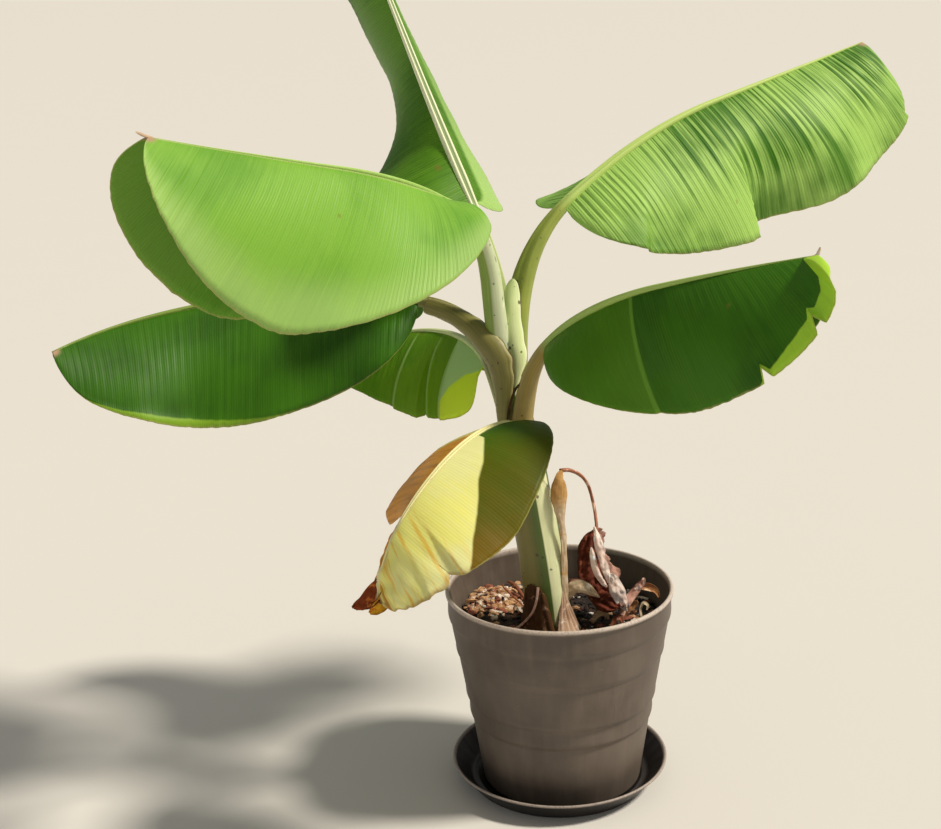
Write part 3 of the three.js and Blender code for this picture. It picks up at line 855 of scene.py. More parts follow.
def painted_light_margin(tree, colour, blade_map, look, settings):
    """Folded yellow-green strip along the near margin, toward the tip."""
    parts = split(tree, blade_map)
    leaf = next(leaf for leaf in LEAVES if leaf["look"] == look)
    side, sign = ("right", 1) if "flange" in leaf["right"] else ("left", -1)
    limit = curve_of(tree, parts[1], leaf[side]["flange"])
    inside = times(tree, parts[0], sign, times(tree, limit, -1))
    # Painted light before the crease, and a painted highlight along it.
    if look == "dark":
        past = times(tree, parts[0], 0.06, parts[1])
        colour = blend(
            tree, spread(tree, past, 0.405, 0.418, 0.4, 0.0), colour, paint("6ca41c")
        )
        beside = calc(tree, "ABSOLUTE", calc(tree, "SUBTRACT", past, 0.412))
        colour = blend(
            tree, spread(tree, beside, 0.002, 0.009, 0.5, 0.0), colour, paint("8cc444")
        )
    strip = spread(tree, inside, 0.0, 0.02, 0.0, 1.0 if look == "dark" else 0.42)
    return blend(tree, strip, colour, settings.painted_light_colour)


def torn_strips(tree, colour, blade_map):
    """Grey-green folded strip and thin yellow-green strip nearest the stalk."""
    parts = split(tree, blade_map)
    near = times(tree, parts[0], -1.0)
    first = calc(tree, "LESS_THAN", parts[1], 0.245)
    last = times(tree, first, spread(tree, near, 0.0, 0.02))
    colour = blend(tree, last, colour, paint("d0ecb4"))
    limit = curve_of(
        tree, parts[1], [(0, 0.3), (0.12, 0.42), (0.2, 0.62), (0.24, 0.8), (1, 1)]
    )
    # Painted light: the bright yellow-green of the thin strip.
    thin = spread(tree, calc(tree, "SUBTRACT", near, limit), 0.0, 0.03)
    thin = times(tree, thin, first)
    return blend(tree, thin, colour, paint("ecff58"))


def stalk_material(name, body, side, wing, dark, settings, rib, start, groove_shade=None):
    """Waxy stalk: pale wings along its channel, fine lengthwise fibres and specks."""
    material, tree, shader, _ = new_material(name)
    place, parts, fibre, patches = fibrous(tree, 1.0, 22.0)
    colour = blend(tree, fibre["Fibres"], body, side)
    colour = tint(tree, colour, patches["Patches"], 0.35, dark)
    closeness = marked(tree, "wing")
    colour = tint(tree, colour, closeness, 0.75, wing)
    beyond = spread(tree, parts[1], start - 0.02, start + 0.03, 0.0, 0.95)
    colour = blend(tree, beyond, colour, rib)
    # Painted shade: a darker colour along the floor of the midrib's channel.
    if groove_shade:
        off = calc(tree, "ABSOLUTE", calc(tree, "SUBTRACT", parts[0], 0.25))
        inside = times(tree, spread(tree, off, 0.05, 0.09, 0.9, 0.0), beyond)
        colour = blend(tree, inside, colour, groove_shade)
    line = times(tree, spread(tree, closeness, 0.82, 0.94), 0.85)
    line = times(tree, line, spread(tree, parts[1], 0.2, 0.32, 1.0, 0.0))
    colour = blend(tree, line, colour, paint("3d2a16"))
    spots = use(tree, specks, {"Vector": place, "Scale": 190.0, "Amount": 0.16})
    spotted = times(tree, spots[0], spread(tree, parts[1], 0.1, 0.6, 0.8, 0))
    colour = blend(tree, spotted, colour, paint("3f2c16"))
    rough = times(tree, patches["Grain"], 0.2, 0.36)
    waxy(tree, shader, colour, rough, settings.stalk_depth)
    bump(tree, shader, fibre["Height"], 0.0006, 0.8)
    return material


def clasp_material(name, body, streak, pale, settings):
    """Live sheath: waxy fibres and specks, a pale rim and a thin brown margin."""
    material, tree, shader, _ = new_material(name)
    place, parts, fibre, patches = fibrous(tree, 1.0, 26.0)
    colour = blend(tree, fibre["Fibres"], body, streak)
    colour = tint(tree, colour, patches["Patches"], 0.25, streak)
    side = calc(tree, "ABSOLUTE", parts[0])
    colour = blend(tree, spread(tree, side, 0.72, 0.9, 0.0, 0.7), colour, pale)
    colour = blend(tree, spread(tree, side, 0.93, 0.96), colour, paint("4a3318"))
    spots = use(tree, specks, {"Vector": place, "Scale": 170.0, "Amount": 0.3})
    colour = tint(tree, colour, spots[0], 0.85, paint("4a3a1c"))
    rough = times(tree, patches["Grain"], 0.2, 0.38)
    waxy(tree, shader, colour, rough, settings.stalk_depth)
    bump(tree, shader, fibre["Height"], 0.0006, 0.8)
    return material


def stem_material(settings):
    """Layered stem: pale green with an older side, fibres, dry margins, specks."""
    material, tree, shader, _ = new_material("Stem Sheaths")
    place, parts, fibre, patches = fibrous(tree, 1.0, 14.0)
    streaks = clouds(tree, uv(tree, "Vein"), 1.0, 4, 0.55, (42, 2.2, 1))
    old = marked(tree, "old")
    blur = times(tree, calc(tree, "SUBTRACT", streaks, 0.5), 0.9, old)
    colour = blend(tree, spread(tree, blur, 0.0, 1.0), settings.body, settings.olive)
    # Partly waxy bloom and partly painted light: the pale stripe on the side that faces
    # the light.
    pale = marked(tree, "pale")
    blur = times(tree, calc(tree, "SUBTRACT", streaks, 0.5), 0.35, pale)
    colour = blend(tree, spread(tree, blur, 0.3, 0.7), colour, settings.stripe)
    colour = tint(tree, colour, fibre["Fibres"], 0.25, settings.dark)
    colour = tint(tree, colour, patches["Patches"], 0.15, settings.dark)
    edge = marked(tree, "edge")
    worn = times(tree, edge, spread(tree, fibre["Fibres"], 0.0, 0.7, 0.5, 1))
    colour = blend(tree, worn, colour, settings.margin)
    foot = spread(tree, parts[1], 0.0, 0.12, 0.8, 0.0)
    foot = times(tree, foot, spread(tree, streaks, 0.3, 0.6, 0.5, 1.0))
    colour = blend(tree, foot, colour, paint("8f7350"))
    spots = use(tree, specks, {"Vector": place, "Scale": 150.0, "Amount": 0.12})
    colour = tint(tree, colour, spots[0], 0.75, paint("3c2a18"))
    rough = times(tree, patches["Grain"], 0.2, 0.35)
    waxy(tree, shader, colour, rough, 0.06)
    bump(tree, shader, fibre["Height"], 0.0008, 0.8)
    return material


def dry_material(name, light, dark, accent, strength, foot=None, far=None):
    """Dry plant tissue: fibres, brown edges, pale crumpled ridges, dull surface.

    foot is the colour of its lower half, far that of its half beyond the fold.
    """
    material, tree, shader, _ = new_material(name)
    place, parts, fibre, patches = fibrous(tree, 1.6, 46.0)
    ridge = clouds(tree, place, 85, 4, 0.6)
    base = light
    if foot:
        low = times(tree, ridge, 0.12, parts[1])
        base = blend(tree, spread(tree, low, 0.5, 0.68), foot, base)
    if far:
        beyond = times(tree, ridge, -0.5, parts[0])
        base = blend(tree, spread(tree, beyond, -0.45, -0.2), far, base)
    colour = tint(tree, base, patches["Patches"], 0.5, dark)
    colour = tint(tree, colour, fibre["Fibres"], strength, dark)
    # Painted highlight: pale patches where the ridge noise is high.
    colour = blend(tree, spread(tree, ridge, 0.56, 0.66), colour, accent)
    edge = spread(tree, calc(tree, "ABSOLUTE", parts[0]), 0.82, 1.0)
    colour = tint(tree, colour, edge, 0.6, paint("5a3018"))
    rough = times(tree, patches["Grain"], 0.2, 0.68)
    matt(tree, shader, colour, rough, 0.22)
    bump(tree, shader, fibre["Height"], 0.001, 0.9)
    return material


def plastic_material(name, body, worn, dust, amount, roughness):
    """Matt moulded plastic with dust film, water runs, scuffs and a worn pale lip."""
    material, tree, shader, _ = new_material(name)
    place = own_coordinates(tree)
    wear = use(tree, plastic_wear, {"Vector": place, "Dust": amount})
    patches = use(tree, mottling, {"Vector": place, "Scale": 11.0})
    colour = tint(tree, body, patches["Patches"], 0.3, dust)
    colour = blend(tree, wear["Dust"], colour, dust)
    colour = tint(tree, colour, wear["Scuffs"], 0.35, worn)
    lip = marked(tree, "lip")
    chipped = times(tree, lip, spread(tree, patches["Grain"], 0.3, 0.55, 0.65, 1.0))
    colour = blend(tree, chipped, colour, worn)
    rough = times(tree, wear["Dust"], 0.3, roughness)
    rough = times(tree, wear["Scuffs"], 0.12, rough)
    matt(tree, shader, colour, rough, 0.4)
    bump(tree, shader, wear["Height"], 0.0003, 0.7)
    return material


def earth_material(name, light, dark, scale, rough):
    """Crumbly matter such as soil, bark or grit."""
    material, tree, shader, _ = new_material(name)
    place = own_coordinates(tree)
    patches = use(tree, mottling, {"Vector": place, "Scale": scale})
    crumbs = clouds(tree, place, scale * 5, 6, 0.7)
    tone = times(tree, crumbs, 0.7, patches["Patches"])
    colour = blend(tree, spread(tree, tone, 0.3, 1.2), dark, light)
    wet = times(tree, crumbs, -0.25, rough)
    feed(tree, shader, {"Base Color": colour, "Roughness": wet})
    bump(tree, shader, crumbs, 0.002, 0.9)
    return material


# ---------------------------------------------------------------- settings


def colour_property(name, description, code):
    return FloatVectorProperty(
        name=name,
        description=description,
        subtype="COLOR",
        size=4,
        min=0,
        max=1,
        default=paint(code),
    )


def length_property(name, description, size):
    return FloatProperty(
        name=name, description=description, default=size, unit="LENGTH"
    )


def share_property(name, description, share, most=1.0):
    return FloatProperty(
        name=name,
        description=description,
        default=share,
        min=0,
        max=most,
        subtype="FACTOR",
    )


class PotSettings(bpy.types.PropertyGroup):
    height: length_property(
        "Height", "Height of the rim above the floor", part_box("pot")[1].z
    )
    rim_radius: length_property(
        "Rim radius",
        "Outer radius of the turned rim",
        (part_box("pot")[1].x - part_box("pot")[0].x) / 2,
    )
    body: colour_property("Plastic", "Colour of the moulded plastic", "5a4f46")
    worn: colour_property("Worn lip", "Colour of the rubbed lip", "cbbdb2")
    dust: colour_property("Dust", "Colour of dust and dried water", "85786c")
    steps: IntProperty(
        name="Steps", description="Facets round the pot", default=128, min=24, max=256
    )


class SaucerSettings(bpy.types.PropertyGroup):
    body: colour_property("Plastic", "Colour of the moulded plastic", "151110")
    worn: colour_property("Worn lip", "Colour of the rubbed lip", "a89b92")
    dust: colour_property("Dust", "Colour of dust", "332c28")


class SoilSettings(bpy.types.PropertyGroup):
    light: colour_property("Dry soil", "Colour of the dry crumbs", "3a261d")
    dark: colour_property("Damp soil", "Colour of the damp hollows", "120a08")
    relief: length_property("Relief", "Height of the lumps", 0.0035)
    seed: IntProperty(name="Seed", description="Scatter of the chips", default=7)


class StemSettings(bpy.types.PropertyGroup):
    body: colour_property("Green", "Main green of the stem", "4e6420")
    olive: colour_property("Olive", "Older sheath on one side", "857a3e")
    dark: colour_property("Shaded green", "Darker fibres", "43591f")
    # Partly waxy bloom and partly painted light on the lit side.
    stripe: colour_property("Waxy and lit stripe", "Waxy bloom and painted light on the lit side", "f2f6c4")
    margin: colour_property("Sheath edge", "Dry edges of the sheaths", "4a3218")


class LeafSettings(bpy.types.PropertyGroup):
    thickness: length_property("Thickness", "Thickness of a blade", 0.0009)
    glow: share_property(
        "Glow", "Share of light that passes through a blade", 0.18, 0.5
    )
    vein_tint: share_property("Veins", "How far the veins are tinted", 0.16)
    stalk_depth: share_property(
        "Stalk softness", "Light that spreads inside a stalk", 0.06
    )
    vein_colour: colour_property("Veins", "Colour of the side veins", "abd35c")
    rib_colour: colour_property("Midrib", "Colour of the midrib band", "c3d48a")
    margin_colour: colour_property("Margin", "Colour of the margin", "c2bd74")
    # Painted light: the bright strip on the folded near margin of the two lower leaves.
    painted_light_colour: colour_property("Painted light strip", "Thin folded margin", "c0ec46")


class DrySettings(bpy.types.PropertyGroup):
    tan: colour_property("Tan", "Dry sheath", "c29a62")
    cream: colour_property("Cream", "Bleached dry tissue", "e6d6b8")
    rust: colour_property("Rust", "Withered blade", "6e2f1c")
    pink: colour_property("Pink", "Crumpled ridges", "d9a896")
    umber: colour_property("Umber", "Dark dry scraps", "3a1d12")


class StageSettings(bpy.types.PropertyGroup):
    lens: FloatProperty(
        name="Lens", description="Focal length in millimetres", default=57.39
    )
    floor: colour_property("Floor", "Colour of the floor", "dedbd6")
    key: FloatProperty(
        name="Key light", description="Strength of the main light", default=3.5
    )
    softness: FloatProperty(
        name="Softness",
        description="How wide the main light is",
        default=math.radians(9),
        subtype="ANGLE",
    )
    fill: FloatProperty(
        name="Fill light", description="Strength of the light all round", default=0.34
    )


# ---------------------------------------------------------------- pot, saucer, soil


def lip_attribute(bm, low, high):
    """Marks the rubbed lip between two heights."""
    layer = bm.verts.layers.float.new("lip")
    for v in bm.verts:
        r = math.hypot(v.co.x, v.co.y)
        v[layer] = smooth((v.co.z - low) / (high - low)) * smooth((r - 100) / 20)


class PLANT_OT_saucer(bpy.types.Operator):
    """Adds the saucer"""

    bl_idname = "plant.saucer"
    bl_label = "Saucer"
    bl_options = UNDOABLE

    def execute(self, context):
        settings = context.scene.plant_saucer
        profile = [
            (0, 0.6), (100, 0.6), (104, 0), (116, 0), (118.4, 0.5), (120, 2.4),
            (138.6, 25.6), (140.6, 26.4), (141.8, 27.6), (142, 29), (141.4, 30),
            (140.2, 30.2), (138.9, 29.6), (136.6, 26.4), (119.4, 6), (117.6, 4.2),
            (115.4, 3.2), (111.4, 3.1), (110.4, 4.2), (109, 4.3), (108, 3.1), (0, 3),
        ]
        bm = spin_profile(profile, 0, 144)
        for v in bm.verts:
            r = math.hypot(v.co.x, v.co.y)
            if 119 < r < 137 and v.co.z > 5 and v.co.z < 27:
                a = math.atan2(v.co.y, v.co.x)
                v.co.z += 0.5 * math.cos(a * 36)
        lip_attribute(bm, 26.5, 29)
        material = plastic_material(
            "Saucer Plastic", settings.body, settings.worn, settings.dust, 0.5, 0.42
        )
        new_piece(bm, "saucer_body", [material], ["saucer"])
        return {"FINISHED"}


def ring_step(radius, height):
    """Soft outward step of the pot's wall, from below."""
    return [
        (radius - 3.4, height - 10), (radius - 3.8, height - 6),
        (radius - 3.3, height - 3), (radius - 1.7, height - 0.5),
        (radius - 0.1, height + 1.8), (radius + 0.7, height + 4.6),
        (radius + 1.0, height + 8), (radius + 0.9, height + 11),
    ]


class PLANT_OT_pot(bpy.types.Operator):
    """Adds the ribbed pot"""

    bl_idname = "plant.pot"
    bl_label = "Pot"
    bl_options = UNDOABLE

    def execute(self, context):
        settings = context.scene.plant_pot
        rim, top = settings.rim_radius / MM, settings.height / MM
        outside = [
            (0, 4.2), (94, 4.2), (97, 3.3), (101.5, 3.3), (103.4, 4.4), (104.1, 6.5),
        ]
        for radius, height in ((119, 95), (123.5, 122), (134.5, 184), (143.2, 231)):
            outside += ring_step(radius, height)
        outside += [
            (rim - 3.2, top - 10), (rim - 2.9, top - 7.6), (rim - 1.2, top - 6.4),
            (rim - 0.2, top - 4.8), (rim, top - 2.6), (rim - 0.5, top - 1),
            (rim - 1.8, top - 0.1), (rim - 3.2, top), (rim - 4.4, top - 0.7),
            (rim - 4.9, top - 2.2),
        ]
        inside = [
            (rim - 5.6, top - 8), (rim - 8.6, 245), (rim - 12.4, 230),
            (rim - 15.4, 214), (100, 9.5), (97, 8.3), (0, 8.3),
        ]
        bm = spin_profile(outside + inside, POT_X, settings.steps)
        lip_attribute(bm, top - 5.5, top - 3.5)
        material = plastic_material(
            "Pot Plastic", settings.body, settings.worn, settings.dust, 0.4, 0.5
        )
        new_piece(bm, "pot_body", [material], ["pot"])
        return {"FINISHED"}


HEAP = Vector((-84, 46, 0))  # middle of the low heap of soil on the left


def soil_height(x, y, relief):
    """Height of the soil at a place, with a low heap on the left."""
    p = Vector((x, y, 0))
    h = SOIL_TOP
    h += relief * 1.1 * noise.noise(p * 0.035)
    h += relief * 0.8 * noise.noise(p * 0.11 + Vector((9, 2, 0)))
    h += relief * 0.35 * noise.noise(p * 0.34)
    h += 11 * math.exp(-((p - HEAP).length / 36) ** 2)
    edge = math.hypot(x - POT_X, y)
    return h - 3.5 * smooth((edge - 100) / 32)


def chip(bm, place, size, rng, flat):
    """One small irregular lump at a place."""
    made = bmesh.ops.create_icosphere(bm, subdivisions=1, radius=1)
    verts = made["verts"]
    for v in verts:
        v.co *= rng.uniform(0.55, 1.2)
    stretch = (size * rng.uniform(0.8, 1.7), size * rng.uniform(0.45, 0.9), size * flat)
    bmesh.ops.scale(bm, vec=stretch, verts=verts)
    turned = Matrix.Rotation(rng.uniform(0, TURN), 4, "Z") @ Matrix.Rotation(
        rng.uniform(-CHIP_TILT, CHIP_TILT), 4, "X"
    )
    bmesh.ops.transform(bm, matrix=Matrix.Translation(place) @ turned, verts=verts)


class PLANT_OT_soil(bpy.types.Operator):
    """Adds the soil with its bark chips, grit and scraps"""

    bl_idname = "plant.soil"
    bl_label = "Soil"
    bl_options = UNDOABLE

    def execute(self, context):
        settings = context.scene.plant_soil
        relief = settings.relief / MM
        profile = [(0, 8.9), (99, 8.9), (130.8, 214)]
        profile += [(131.5 - 131.5 * k / 44, 222) for k in range(45)]
        bm = spin_profile(profile, POT_X, 132)
        for v in bm.verts:
            if v.co.z > 221:
                v.co.z = soil_height(v.co.x, v.co.y, relief)
        material = earth_material("Soil", settings.light, settings.dark, 60, 0.95)
        new_piece(bm, "soil_bed", [material], ["soil"])
        # name, light, dark, count, sizes, flatness, and where they gather (see spot)
        kinds = [
            ("soil_crumbs", "2a1a14", "0f0806", 620, (1.2, 3.2), 0.8, 0),
            ("bark_dark", "3c2419", "1c0f0a", 320, (2.5, 6.5), 0.5, 0),
            ("bark_red", "a05c44", "6a3524", 210, (3.0, 7.5), 0.5, 2),
            ("bark_tan", "dcae80", "a87650", 200, (3.5, 8.5), 0.5, 1),
            ("bark_pale", "f7e8da", "cdaf96", 130, (3.0, 7.5), 0.5, 1),
            ("grit_white", "fbf7f1", "e4ddd4", 120, (1.4, 3.6), 0.85, 3),
        ]
        for name, light, dark, count, sizes, flat, gather in kinds:
            rng = random.Random(f"{name}{settings.seed}")
            bm = bmesh.new()
            for _ in range(count):
                x, y = self.spot(rng, gather)
                size = rng.uniform(*sizes)
                z = soil_height(x, y, relief) + size * flat * rng.uniform(0.1, 0.7)
                chip(bm, (x, y, z), size, rng, flat)
            material = earth_material(
                name.replace("_", " ").title(), paint(light), paint(dark), 120, 0.85
            )
            new_piece(bm, name, [material], (), rounded=False)
        return {"FINISHED"}

    def spot(self, rng, gather):
        """A place on the soil, clear of the stem.

        It is anywhere (0), mostly on the heap (1), or at times there and mostly along
        the front (2 and 3).
        """
        while True:
            if gather and rng.random() < (0.82, 0.4, 0.35)[gather - 1]:
                x = rng.gauss(HEAP.x, 19)
                y = rng.gauss(HEAP.y, 24)
            elif gather > 1 and rng.random() < 0.6:
                a = math.radians(rng.uniform(220, 320))
                r = rng.uniform(98, 126)
                x, y = POT_X + r * math.cos(a), r * math.sin(a)
            else:
                a, r = rng.uniform(0, TURN), SOIL_REACH * math.sqrt(rng.random())
                x, y = POT_X + r * math.cos(a), r * math.sin(a)
            if math.hypot(x - POT_X, y) > SOIL_REACH:
                continue
            if math.hypot(x + 9, y + 35) > 31:
                return x, y


# ---------------------------------------------------------------- stem


def stem_line():
    """Centreline of the stem, upright at its foot so that the foot is cut level."""
    line = centreline(STEM["start"], STEM["heading"], STEM["rise"], STEM["length"])
    point, _, left, _ = line[0]
    forward = Vector((0, 0, 1))
    line[0] = (point, forward, left, forward.cross(left))
    return line


def wrap_inside(wrap, angle, height):
    """Signed distance in millimetres from the edge of a wrapping sheath."""
    if height > wrap["high"]:
        return -99.0
    share = (height - wrap["low"]) / (wrap["high"] - wrap["low"])
    if share < 0:
        return 99.0
    half = 180 - 128 * share**0.62
    off = abs((angle - wrap["turn"] + 180) % 360 - 180)
    return (half - off) * 0.42


class PLANT_OT_stem(bpy.types.Operator):
    """Adds the stem with the edges of its wrapped sheaths"""

    bl_idname = "plant.stem"
    bl_label = "Stem"
    bl_options = UNDOABLE

    def execute(self, context):
        settings = context.scene.plant_stem
        line, sides, rings = stem_line(), 96, 180
        low, high = line[0][0].z, line[-1][0].z
        bm = grid(sides, rings)
        unwrap(bm, 0.15, STEM["length"] * MM, 1, 0)
        edge_layer = bm.verts.layers.float.new("edge")
        pale_layer = bm.verts.layers.float.new("pale")
        old_layer = bm.verts.layers.float.new("old")
        for v in bm.verts:
            x, t = v.co.x, v.co.y
            point, _, left, top = place_at(line, t)
            radius = along(STEM["radii"], t)
            close = smooth((1 - t) / 0.05)
            angle = x * 360
            edge = extra = 0.0
            height = low + (high - low) * t
            for wrap in WRAPS:
                inside = wrap_inside(wrap, angle, height)
                extra += wrap["step"] * smooth(inside / 1.6 + 0.5)
                edge = max(edge, math.exp(-(((inside - 0.8) / 1.3) ** 2)))
            extra -= 2.2 * (1 - smooth(t / 0.25)) + 1.8
            flare = 0.9 * math.sin(math.radians(angle * 5 + t * 200)) * (
                1 - smooth(t / 0.15)
            )
            a = math.radians(angle)
            round_place = Vector((1.5 * math.cos(a), 1.5 * math.sin(a), t * 14))
            swell = 0.5 * noise.noise(round_place)
            radius = (radius + extra + flare + swell) * (0.35 + 0.65 * close)
            out = left * math.cos(a) + top * math.sin(a)
            world = math.degrees(math.atan2(out.y, out.x))
            # pale marks the side that faces the light and the camera: partly waxy
            # bloom, partly painted light.
            bright = abs((world - 314 + 180) % 360 - 180)
            v[edge_layer] = edge * smooth((t - 0.45) / 0.1)
            v[pale_layer] = 1 - smooth((bright - 22) / 14)
            aged = abs((world - 215 + 180) % 360 - 180)
            v[old_layer] = 1 - smooth((aged - 16) / 60)
            v.co = point + out * radius
        close_seam(bm, 1e-4)
        bmesh.ops.holes_fill(bm, edges=bm.edges, sides=0)
        new_piece(bm, "stem_sheaths", [stem_material(settings)], ["stem"])
        return {"FINISHED"}


# ---------------------------------------------------------------- stalks


def leaf_lines(leaf):
    """Centrelines of the stalk and of the midrib."""
    stalk = centreline(
        leaf["root"], leaf["heading"][:3], leaf["rise"][:3], leaf["stalk"]
    )
    base = stalk[-1][0]
    rib = centreline(base, leaf["heading"][2:], leaf["rise"][2:], leaf["length"])
    return stalk, rib


def stalk_stations(leaf, rows):
    """(point, left, top, radius, channel, length so far) up a stalk and its midrib.

    channel is how deep the upper side is hollowed, as a share of the radius.
    """
    stalk, rib = leaf_lines(leaf)
    stem = stem_line()
    low, high = stem[0][0].z, stem[-1][0].z
    root = Vector(leaf["root"])
    total = SINK + leaf["stalk"] + leaf["length"]
    stations = []
    for i in range(rows + 1):
        s = total * i / rows
        if s < SINK:
            w = smooth(s / SINK)
            height = root.z - SINK + s
            t = (height - low) / (high - low)
            axis = place_at(stem, t)[0]
            start = place_at(stem, (root.z - low) / (high - low))[0]
            point = axis.lerp(axis + (root - start), w)
            point.z = height
            _, _, left, top = place_at(stalk, 0)
            radius = (along(STEM["radii"], t) - 2.5) * (1 - w) + leaf["radii"][0] * w
            channel = 0.3 * w
        elif s < SINK + leaf["stalk"]:
            t = (s - SINK) / leaf["stalk"]
            point, _, left, top = place_at(stalk, t)
            radius = eased(leaf["radii"], t)
            channel = 0.3 + (leaf.get("channel", 0.8) - 0.3) * smooth(t * 2.5)
        else:
            t = (s - SINK - leaf["stalk"]) / leaf["length"]
            point, _, left, top = place_at(rib, t)
            end = leaf["radii"][2]
            radius = along([end, end * 0.78, end * 0.55, end * 0.36, 0.9], t)
            radius *= 1 + (leaf.get("rib_size", 1.0) - 1) * smooth(t / 0.12)
            channel = leaf.get("channel", 0.8)
            channel += (0.8 - channel) * smooth(t / 0.15)
        stations.append((point, left, top, radius, channel, s))
    return stations


class PLANT_OT_stalks(bpy.types.Operator):
    """Adds the leaf stalks, each with the midrib that it runs on into"""

    bl_idname = "plant.stalks"
    bl_label = "Stalks"
    bl_options = UNDOABLE

    def execute(self, context):
        settings = context.scene.plant_leaf
        for leaf in LEAVES:
            whole = SINK + leaf["stalk"] + leaf["length"]
            material = stalk_material(
                "Stalk " + leaf["name"][5:],
                *map(paint, leaf["stalk_tint"]),
                settings,
                paint(leaf["rib_tint"]),
                (SINK + leaf["stalk"]) / whole,
                paint(leaf["groove_shade"]) if "groove_shade" in leaf else None,
            )
            self.stalk(leaf, material)
        return {"FINISHED"}

    def stalk(self, leaf, material):
        rows, sides = 170, 40
        stations = stalk_stations(leaf, rows)
        bm = grid(sides, rows)
        unwrap(bm, 0.07, stations[-1][-1] * MM, 1, 0)
        wing_layer = bm.verts.layers.float.new("wing")
        for v in bm.verts:
            i = min(round(v.co.y * rows), rows)
            point, left, top, radius, channel, s = stations[i]
            a = v.co.x * TURN
            c, up = math.cos(a), math.sin(a)
            if up > 0:
                up *= 1 - channel * (1 - abs(c) ** 1.4)
            # A stalk's pale side is partly its pale wing and partly painted light on
            # the lit side.
            if "pale_lit_side" in leaf:
                v[wing_layer] = 0.8 * smooth((c - leaf["pale_lit_side"]) / 0.2 + 0.5)
            elif up > 0:
                v[wing_layer] = math.exp(-(((abs(c) - 0.86) / 0.14) ** 2))
            wobble = 1 + 0.02 * noise.noise(Vector((c * 2, up * 2, s / 30)))
            v.co = point + (left * c + top * up) * radius * wobble
        close_seam(bm, 1e-5)
        bmesh.ops.holes_fill(bm, edges=bm.edges, sides=0)
        name = leaf["name"] + "_rib"
        new_piece(bm, name, [material], [leaf["name"] + "_stalk"])


# ---------------------------------------------------------------- blades


def notch_at(half, t):
    """Share of the width that the tears and nicks of the margin take away at t."""
    cut = 0.0
    for at, _, gap, notch in half.get("tears", ()):
        cut = max(cut, notch * (1 - abs(t - at) / gap))
    return cut


def squeeze(u, cut):
    """Where u lies across the width when only the outer part gives way to a notch."""
    if u <= SOLID:
        return u
    return SOLID + (u - SOLID) * (1 - cut - SOLID) / (1 - SOLID)


def curve_at(points, x):
    """Value of a hand-drawn curve at x."""
    for (x0, y0), (x1, y1) in zip(points, points[1:]):
        if x <= x1:
            return y0 + (y1 - y0) * max(x - x0, 0) / (x1 - x0)
    return points[-1][1]


def half_width(leaf, half, t):
    """Width of one half of a blade at t, before it is torn or frayed."""
    s = min(max(t, 0.0), 1.0) ** leaf["skew"]
    power = leaf["power"]
    full = max(0.0, 1 - abs(2 * s - 1) ** power) ** (1 / power)
    return half["width"] * full


def blade_rows(leaf, count):
    """Even rows, closer together at both ends, that meet every tear."""
    rows = []
    for i in range(count + 1):
        x = i / count
        rows.append(0.002 + 0.996 * (x - 0.62 * math.sin(TURN * x) / TURN))
    for side in ("left", "right"):
        for at, *_ in leaf[side].get("tears", ()):
            nearest = min(range(1, count), key=lambda i: abs(rows[i] - at))
            rows[nearest] = at
    return rows


def blade_surface(leaf, line, t, sign, columns, seed):
    """(point, lift, share, distance) from midrib to margin along one vein line."""
    half = leaf["left" if sign > 0 else "right"]
    point, forward, left, top = place_at(line, t)
    ragged = 1 + 0.006 * noise.noise(Vector((t * 60, sign * 3, seed)))
    fray = leaf.get("frayed", 0) * smooth((t - 0.72) / 0.25)
    ragged += fray * 0.1 * noise.noise(Vector((t * 45, sign * 7, seed)))
    width, cut = half_width(leaf, half, t) * ragged, notch_at(half, t)
    if "shrunk" in half:
        start, reach, loss = half["shrunk"]
        width *= 1 - loss * smooth((t - start) / reach)
    sweep = math.radians(eased(half["sweep"], t))
    rib, edge = eased(half["rib"], t), eased(half["edge"], t)
    if "begin" in half:
        left_out = 1 - min(max((t - half["begin"]) / 0.06, 0), 1)
        width *= 0.01 + 0.99 * math.sqrt(1 - left_out**2)
    low, lean, high, most = half.get("drape", (1, 0, 1, 0))
    found = [(point, top, 0.0, 0.0)]
    for j in range(columns):
        start, end = squeeze(j / columns, cut), squeeze((j + 1) / columns, cut)
        middle = (start + end) / 2
        hang = most * smooth((t - low - lean * middle) / 0.02)
        hang *= smooth((high - t) / 0.16) * smooth((middle - 0.4) / 0.4)
        angle = math.radians(rib + (edge - rib) * middle + hang)
        out = (
            left * (sign * math.cos(angle)) - top * math.sin(angle)
        ) * math.cos(sweep) + forward * math.sin(sweep)
        point = point + out * (width * (end - start))
        lift = top * math.cos(angle) + left * (sign * math.sin(angle))
        share = (j + 1) / columns
        found.append((point, lift, share, end * width))
    return found


